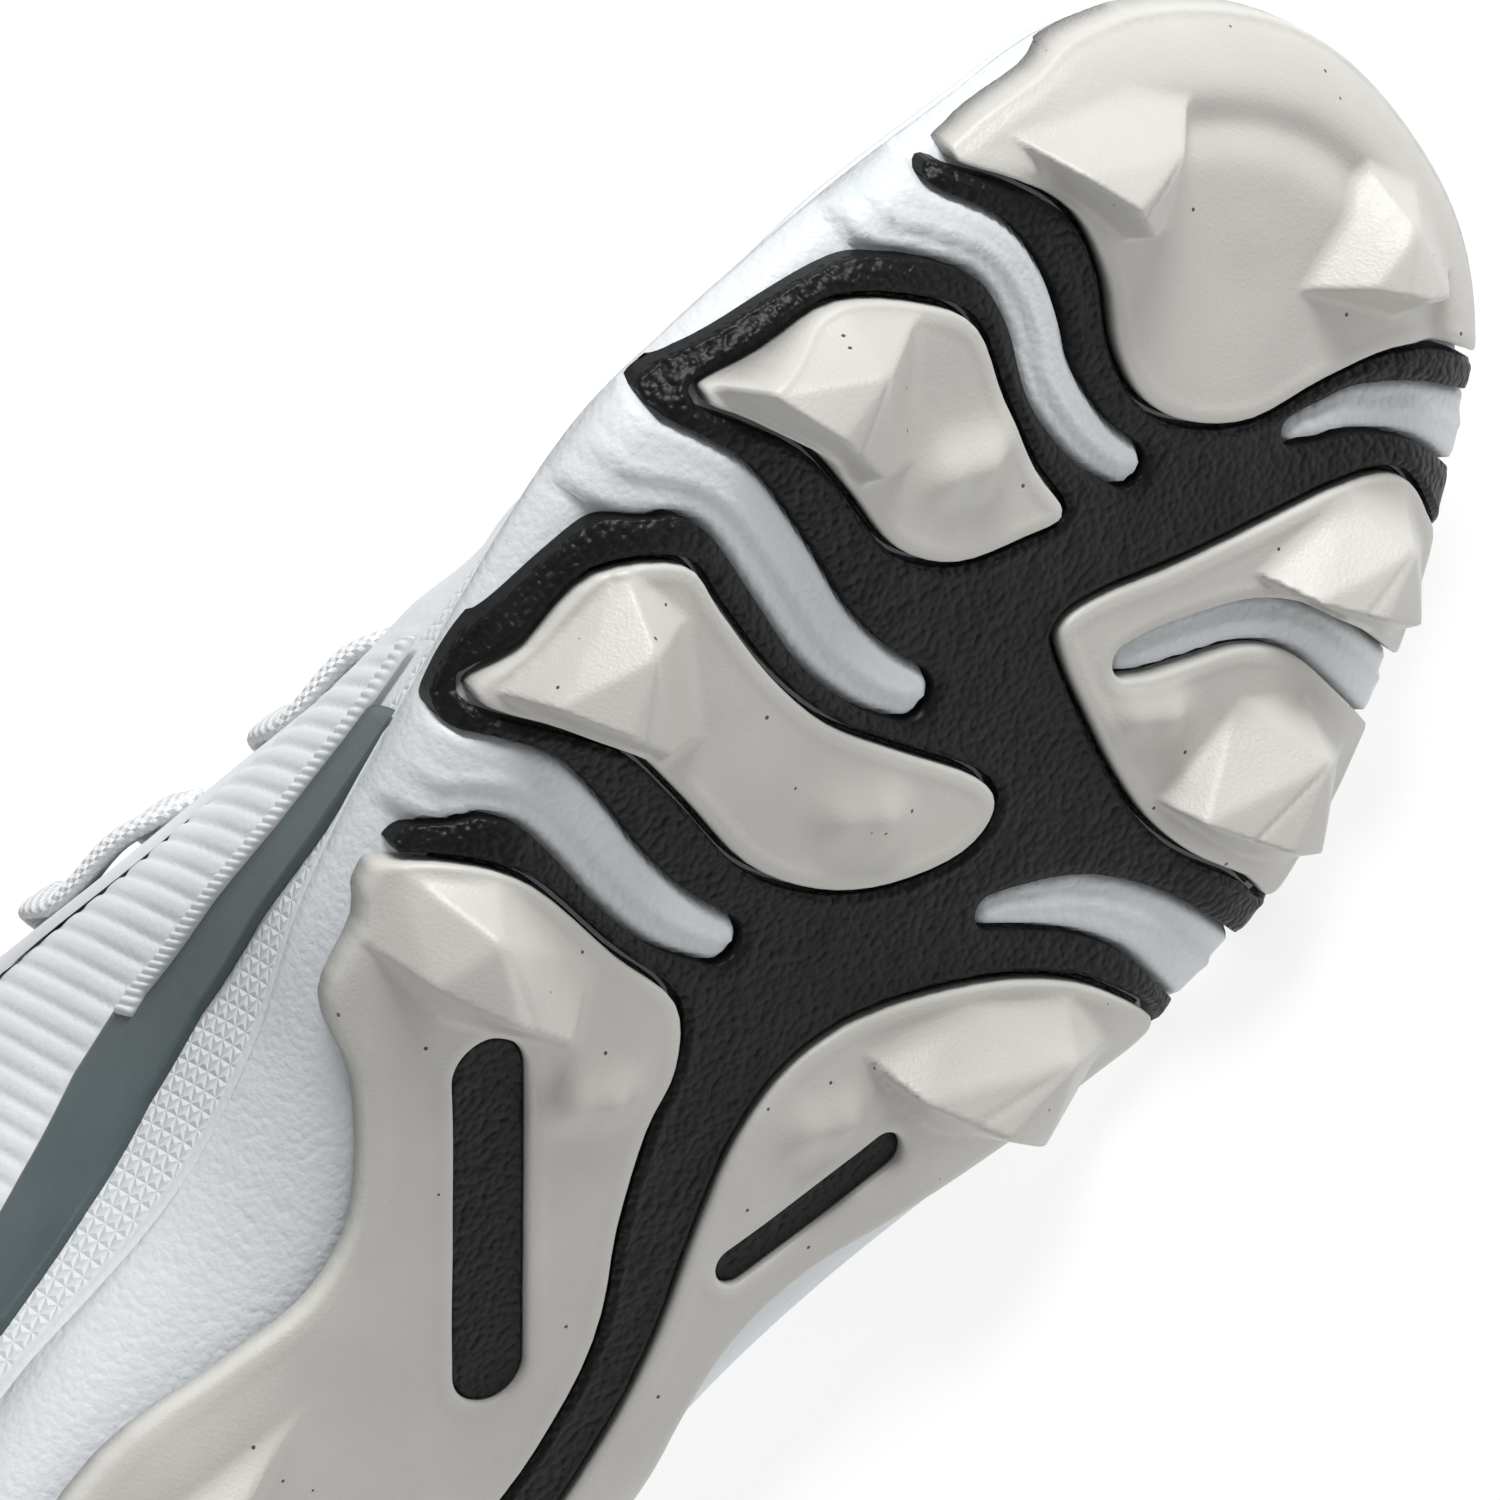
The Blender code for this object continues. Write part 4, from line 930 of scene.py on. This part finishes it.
insoleCloth = makeFinish(
    "insole cloth", light=(0.10, 0.10, 0.106), dark=(0.07, 0.07, 0.075), patch=10, rough=(0.82, 0.95),
    grain=(("noise", 0.5, 0.7), ("cells", 0.9, 0.6)), grainDeep=0.25, sheen=0.3)

# band along the side, as shares of the wall's height at sections from heel to toe
band = {"at": (4.0, 4.5, 4.9, 5.2, 5.5, 5.75, 6.0, 6.12),
        "middle": (0.23, 0.285, 0.315, 0.305, 0.24, 0.17, 0.12, 0.103),
        "half": 0.098, "proud": 1.1, "under": 0.1, "round": 0.45}


def bandMiddle(section):
    return np.interp(section, band["at"], band["middle"])


def between(section, low, high, lowRun, highRun):
    # 1 inside a stretch, fading over each end
    return smoothStep((section - low) / lowRun) * smoothStep((high - section) / highRun)


def upperSpacing(place):
    ribbed = between(sectionOf(place), 3.6, 6.6, 0.3, 0.3)
    return upper["coarse"] + (upper["fine"] - upper["coarse"]) * ribbed


def collarAt(section):
    return smoothStep((5.2 - section) / 0.6)


def upperRelief(place, share):
    section = sectionOf(place)
    skin = skinAt(place, share)
    relief = upper["collarSwell"] * collarAt(section) * hump(share, 0.78, 1.0)
    aboveBand = bandMiddle(section) + band["half"] + 0.01
    ribZone = between(section, 3.9, 6.5, 0.25, 0.3) * between(share, aboveBand, 0.87, 0.02, 0.03)
    ribs = grooves(skin[..., 0] + 0.12 * skin[..., 2], upper["ribPitch"], upper["ribHalf"])
    relief = relief + (upper["ribProud"] - upper["ribDeep"] * ribs) * ribZone
    relief = relief + upper["feather"] * bell(share - 0.018, 0.022)
    counter = smoothStep((0.62 - 0.13 * section - share) / 0.02) * smoothStep((3.0 - section) / 0.1)
    toeRand = smoothStep((0.17 - share) / 0.02) * smoothStep((section - 7.3) / 0.4)
    backSeam = bell(section * 15, 0.8) * smoothStep((0.9 - share) / 0.1)
    relief = relief + upper["counter"] * counter + upper["toeRand"] * toeRand - upper["backSeam"] * backSeam
    for at, lean, low, high, deep, half in upper["creases"]:  # each a trough with a ridge on both sides
        off = place - at - lean * (share - 0.5)
        ridges = 0.45 * bell(np.abs(off) - 2.0 * half, half)
        relief = relief + deep * hump(share, low, high) * (ridges - bell(off, half))
    spread = np.stack([place.ravel() * 20 + 40, share.ravel() * 60], 1)
    return relief + upper["uneven"] * softNoise(spread, 9, 21).reshape(share.shape) * hump(share, 0.05, 0.95)


def makeUpper():
    places = spacedPlaces(0, ringCount, 0.4, upperSpacing)[:-1]
    shares = np.linspace(0, 1, upper["up"])
    p, s = np.broadcast_arrays(places[:, None], shares[None])
    outer = offSkin(p, s, upperRelief(p, s))
    section = sectionOf(places)
    q, r = np.broadcast_arrays(places[:, None], np.linspace(1, 0, upper["lining"])[None])
    pad = upper["collarPad"] * collarAt(section)[:, None] * smoothStep((r - 0.62) / 0.3)
    thick = upper["wall"] + pad
    inner = offSkin(q, r, -thick)
    inner[..., 2] = np.maximum(inner[..., 2], bedAt(inner[..., 0]) + upper["seat"])
    top = np.ones(len(places))
    out = skinOut(places, top)
    rise = skinAt(places, top) - skinAt(places, top * 0.97)
    rise = unit(rise - out * (rise * out).sum(1)[:, None])
    half = thick[:, :1] / 2
    centre = outer[:, -1] - out * half
    turns = np.radians((30, 60, 90, 120, 150))
    rim = np.stack([centre + out * half * math.cos(a) + rise * half * math.sin(a) for a in turns], 1)
    grid = np.concatenate([outer, rim, inner], 1)
    underBand = np.maximum(bandMiddle(section) - band["half"], 0.1)
    top = np.where(section < 6.3, underBand, 0.17)[:, None]
    facets = np.zeros(grid.shape[:2])
    facets[:, :len(shares)] = between(s, 0.05, top + 0.01, 0.012, 0.012)
    lining = np.arange(grid.shape[1]) >= len(shares) + 3
    return makeTube("upper_shell", grid, [whiteSynthetic, liningCloth], "upper", closed=True,
                    marks={"facets": facets}, lining=lining)


makeUpper()


def makeStrip(name, places, middle, half, look, material, slot, stands=True, relief=None, marks=None):
    # thin strip laid on the skin, its edges rolled down
    across = (0.5 - 0.5 * np.cos(np.linspace(0, math.pi, look.get("across", 25))))[None]
    p = places[:, None]
    shares = middle[:, None] + half * (2 * across - 1)
    run = runOf(skinAt(places, middle))[:, None]
    wide = np.linalg.norm(skinAt(places, middle + half) - skinAt(places, middle - half), axis=1)[:, None]
    edge = np.minimum(np.minimum(across, 1 - across) * wide, np.minimum(run, run[-1] - run))
    roll = rollOff(edge, look["round"])
    lift = look["under"] + 0.05 + (look["proud"] - look["under"] - 0.05) * roll
    spread = np.broadcast_to(run, shares.shape)
    if relief:
        lift = lift + relief(spread, (across - 0.5) * wide) * roll
    bottom = offSkin(p, shares[:, ::-1], np.full(shares.shape, look["under"]))
    grid = np.concatenate([offSkin(p, shares, lift), bottom], 1)
    found = {}
    for key, mark in (marks or {}).items():
        found[key] = np.zeros(grid.shape[:2])
        found[key][:, :shares.shape[1]] = mark(spread, (across - 0.5) * wide)
    return makeTube(name, grid, [material], slot, stands, marks=found)


bandPlaces = spacedPlaces(band["at"][0], band["at"][-1], 0.2, 0.8)
for side, places in (("lateral", bandPlaces), ("medial", ringCount - bandPlaces)):
    makeStrip("band_" + side, places, bandMiddle(bandPlaces), band["half"], band, greyGreenFilm,
              "side_band_" + side)

# ribbed strip along the band's upper edge
strip = {"first": 5.12, "last": 6.3, "above": 0.062, "half": 0.022, "proud": 2.0, "under": 0.9, "round": 0.9,
         "pitch": 1.2, "deep": 0.3, "grooveHalf": 0.26, "across": 15}


def stripRelief(run, across):
    return -strip["deep"] * grooves(run, strip["pitch"], strip["grooveHalf"])


stripPlaces = spacedPlaces(strip["first"], strip["last"], 0.25, 0.2)
stripMiddle = bandMiddle(stripPlaces) + strip["above"]
for side, places in (("lateral", stripPlaces), ("medial", ringCount - stripPlaces)):
    makeStrip("ribbed_strip_" + side, places, stripMiddle, strip["half"], strip, ribbedWhite, "upper",
              stands=False, relief=stripRelief)

# eyestay round the throat, ribbed, with punched eyelets
eyestay = {"low": 0.857, "high": 0.985, "first": 5.0, "proud": 1.5, "under": 0.3, "round": 0.7, "pitch": 1.25,
           "deep": 0.25, "grooveHalf": 0.3, "hole": 1.7, "holeDeep": 1.0, "ring": 0.25, "across": 31}
lace = {"sections": (5.3, 5.75, 6.2, 6.65, 7.1, 7.5), "eyelet": 0.92, "edge": 0.985, "lift": 3.2, "tuck": 1.0,
        "puff": 0.5, "rise": 1.0, "wide": 6.5, "thick": 2.3, "step": 0.6}
eyestayPlaces = spacedPlaces(eyestay["first"], ringCount - eyestay["first"], 0.92, 0.3)
eyestayMiddle = np.full(len(eyestayPlaces), (eyestay["low"] + eyestay["high"]) / 2)
eyestayRun = runOf(skinAt(eyestayPlaces, eyestayMiddle))
eyeletPlaces = [at for k in lace["sections"] for at in (k, ringCount - k)]
eyeletRuns = np.interp(eyeletPlaces, eyestayPlaces, eyestayRun)


def fromEyelet(run, across):
    return np.min([np.hypot(run - at, across) for at in eyeletRuns], 0)


def eyestayRelief(run, across):
    past = fromEyelet(run, across) - eyestay["hole"]
    ribs = -eyestay["deep"] * grooves(run, eyestay["pitch"], eyestay["grooveHalf"])
    ribs = ribs * smoothStep((3.6 - np.abs(across)) / 0.4) * smoothStep((past - 0.9) / 0.4)
    hole = eyestay["holeDeep"] * smoothStep((0.2 - past) / 0.4)
    return ribs + eyestay["ring"] * bell(past - 0.5, 0.4) - hole


# mark for the eyelet holes, painted near black there as the shade inside them
def eyeletHole(run, across):
    return smoothStep((eyestay["hole"] - fromEyelet(run, across)) / 0.3)


makeStrip("eyestay_ribbed", eyestayPlaces, eyestayMiddle, (eyestay["high"] - eyestay["low"]) / 2, eyestay,
          ribbedWhite, "eyestay", relief=eyestayRelief, marks={"hole": eyeletHole})

# padded tongue under the throat, with sewn channels across it
tongue = {"first": 5.0, "last": 8.0, "shares": (0.80, 0.9, 0.985), "under": -2.8, "middle": 1.2,
          "tip": (-13.0, 0, 10.0), "narrow": 0.25, "thick": 3.0, "edgeRound": 2.2, "channel": 13.0,
          "channelDeep": 0.8, "channelHalf": 1.1, "swell": 0.5, "fill": 0.6}


def tongueGrid():
    rows = []
    shares, under = np.array(tongue["shares"]), np.full(3, tongue["under"])
    for k in np.linspace(tongue["first"], tongue["last"], 12):
        lateral = offSkin(np.full(3, k), shares, under)
        medial = offSkin(np.full(3, ringCount - k), shares[::-1], under)
        gap = medial[0] - lateral[-1]
        middle = [lateral[-1] + gap * t + (0, 0, tongue["middle"]) for t in (0.3, 0.5, 0.7)]
        rows.append(smoothLine(np.vstack([lateral, middle, medial]), False, 6))
    start, centre = rows[0], rows[0].mean(0)
    for t in (0.5, 1.0):
        narrowed = centre + (start - centre) * (1 - tongue["narrow"] * t)
        rows.insert(0, narrowed + np.array(tongue["tip"]) * t)
    rows = np.array(rows)
    smooth = smoothLine(rows.reshape(len(rows), -1), False, 8)
    return smooth.reshape(len(smooth), -1, 3)


def makeTongue():
    top = tongueGrid()
    along, across = np.gradient(top, axis=0), np.gradient(top, axis=1)
    out = unit(np.cross(across, along))
    out = out * np.sign(out[..., 2].mean())
    run = runOf(top[:, top.shape[1] // 2])[:, None]
    wide = np.cumsum(np.linalg.norm(across, axis=2), 1)
    edge = np.minimum(np.minimum(wide, wide[:, -1:] - wide), np.minimum(run, run[-1] - run))
    body = rollOff(edge, tongue["edgeRound"])
    pitch = tongue["channel"]
    channel = tongue["channelDeep"] * grooves(run + pitch / 2, pitch, tongue["channelHalf"])
    swell = tongue["swell"] * hump(run % pitch, 0, pitch)
    high = (swell - channel * smoothStep((edge - 1.5) / 1.5)) * body
    pinch = tongue["thick"] / 2 * (1 - body)
    front = top - out * (pinch - high)[..., None]
    back = (top - out * (tongue["thick"] - pinch - 0.02)[..., None])[:, ::-1]
    piece = makeTube("tongue_padded", np.concatenate([front, back], 1), [tongueCloth], "tongue")


makeTongue()


# flat woven lace: bars across the throat and the runs between them, tucked into the eyelets
def lacePath():
    path, facing = [], []

    def stop(place, share, lift):
        path.append(offSkin(place, share, lace["lift"] + lift))
        facing.append(skinOut(place, share))

    for n, k in enumerate(lace["sections"]):
        first, last = (ringCount - k, k) if n % 2 else (k, ringCount - k)
        if n:  # from the bar before, along the same side
            before = (lace["sections"][n - 1] + k) / 2
            stop(before if first < last else ringCount - before, lace["eyelet"] - 0.012, lace["puff"])
        for place, share, drop in ((first, lace["eyelet"], lace["tuck"]), (first, lace["edge"], 0.0),
                                   (last, lace["edge"], 0.0), (last, lace["eyelet"], lace["tuck"])):
            stop(place, share, -drop)
        path.insert(-2, (path[-3] + path[-2]) / 2 + (0, 0, lace["rise"]))
        facing.insert(-2, (facing[-3] + facing[-2]) / 2)
    return smoothLine(path, False, 24), smoothLine(facing, False, 24)


def makeLace():
    line, facing = lacePath()
    run = runOf(line)
    stops = np.linspace(0, run[-1], int(run[-1] / lace["step"]))
    line, facing = (np.stack([np.interp(stops, run, rows[:, n]) for n in range(3)], 1)
                    for rows in (line, facing))
    along = unit(np.gradient(line, axis=0))
    facing = unit(facing - along * (facing * along).sum(1)[:, None])
    beside = np.cross(along, facing)
    turn = np.linspace(0, 2 * math.pi, 20, endpoint=False)
    flat = np.sign(np.cos(turn)) * np.abs(np.cos(turn)) ** 0.7 * lace["wide"] / 2
    high = np.sign(np.sin(turn)) * np.abs(np.sin(turn)) ** 0.85 * lace["thick"] / 2
    grid = line[:, None] + beside[:, None] * flat[None, :, None] + facing[:, None] * high[None, :, None]
    piece = makeTube("lace_woven", grid, [laceWeave], "lace")
    route = toFrame(line)
    length = float(runOf(route)[-1])
    print("lace length", round(length, 3), "m")


makeLace()

# insole, slightly cupped at its edge
insole = {"low": (2, -50), "high": (304, 50), "step": 2.0, "round": 1.0, "inset": 7.0, "thick": 2.6,
          "cup": 0.5, "cupRun": 4, "uneven": 0.15}


def insoleDepth(points):
    return fromEdge(points) - insole["inset"]


def insoleTop(points):
    cup = insole["cup"] * np.exp(-insoleDepth(points) / insole["cupRun"])
    return sole["gap"] + insole["thick"] + cup + insole["uneven"] * softNoise(points, 12, 31)


makePlate("insole_sheet", insole, insoleDepth, insoleTop, lambda points: np.full(len(points), sole["gap"]),
          insoleCloth, "insole", place=onBed)

# plain pale floor and soft studio light
studio = {"floorHalf": 4, "floorGrey": 0.16, "floorGlow": 0.84, "floorRough": 0.9, "skyGlow": 0.28}
half = studio["floorHalf"]
corners = [(-half, -half, 0), (half, -half, 0), (half, half, 0), (-half, half, 0)]
floorMesh = bpy.data.meshes.new("floor")
floorMesh.from_pydata(corners, [], [(0, 1, 2, 3)])
floorFinish = bpy.data.materials.new("pale floor")
floorFinish.use_nodes = True
floorInputs = floorFinish.node_tree.nodes["Principled BSDF"].inputs
floorInputs["Base Color"].default_value = (*[studio["floorGrey"]] * 3, 1)
floorInputs["Roughness"].default_value = studio["floorRough"]
floorInputs["Emission Color"].default_value = (1, 1, 1, 1)
floorInputs["Emission Strength"].default_value = studio["floorGlow"]
floorMesh.materials.append(floorFinish)
floor = bpy.data.objects.new("floor", floorMesh)
scene.collection.objects.link(floor)

lamps = {  # name: right, up, back of the view, size, watts
    "key": (0.05, 1.26, 0.81, 0.6, 26),
    "fill": (-1.2, -0.5, 0.75, 1.0, 2.5),
}
for name, (right, up, back, size, watts) in lamps.items():
    lampData = bpy.data.lights.new(name, "AREA")
    lampData.size = size
    lampData.energy = watts
    lamp = bpy.data.objects.new(name, lampData)
    scene.collection.objects.link(lamp)
    lamp.location = aimPoint + Vector(viewRight * right + viewUp * up + viewBack * back)
    lamp.rotation_euler = (aimPoint - lamp.location).to_track_quat("-Z", "Y").to_euler()
world = bpy.data.worlds.new("studio")
scene.world = world
world.use_nodes = True
background = world.node_tree.nodes["Background"].inputs
background["Color"].default_value = (1, 1, 1, 1)
background["Strength"].default_value = studio["skyGlow"]
scene.view_settings.view_transform = "Standard"

print("finishing")
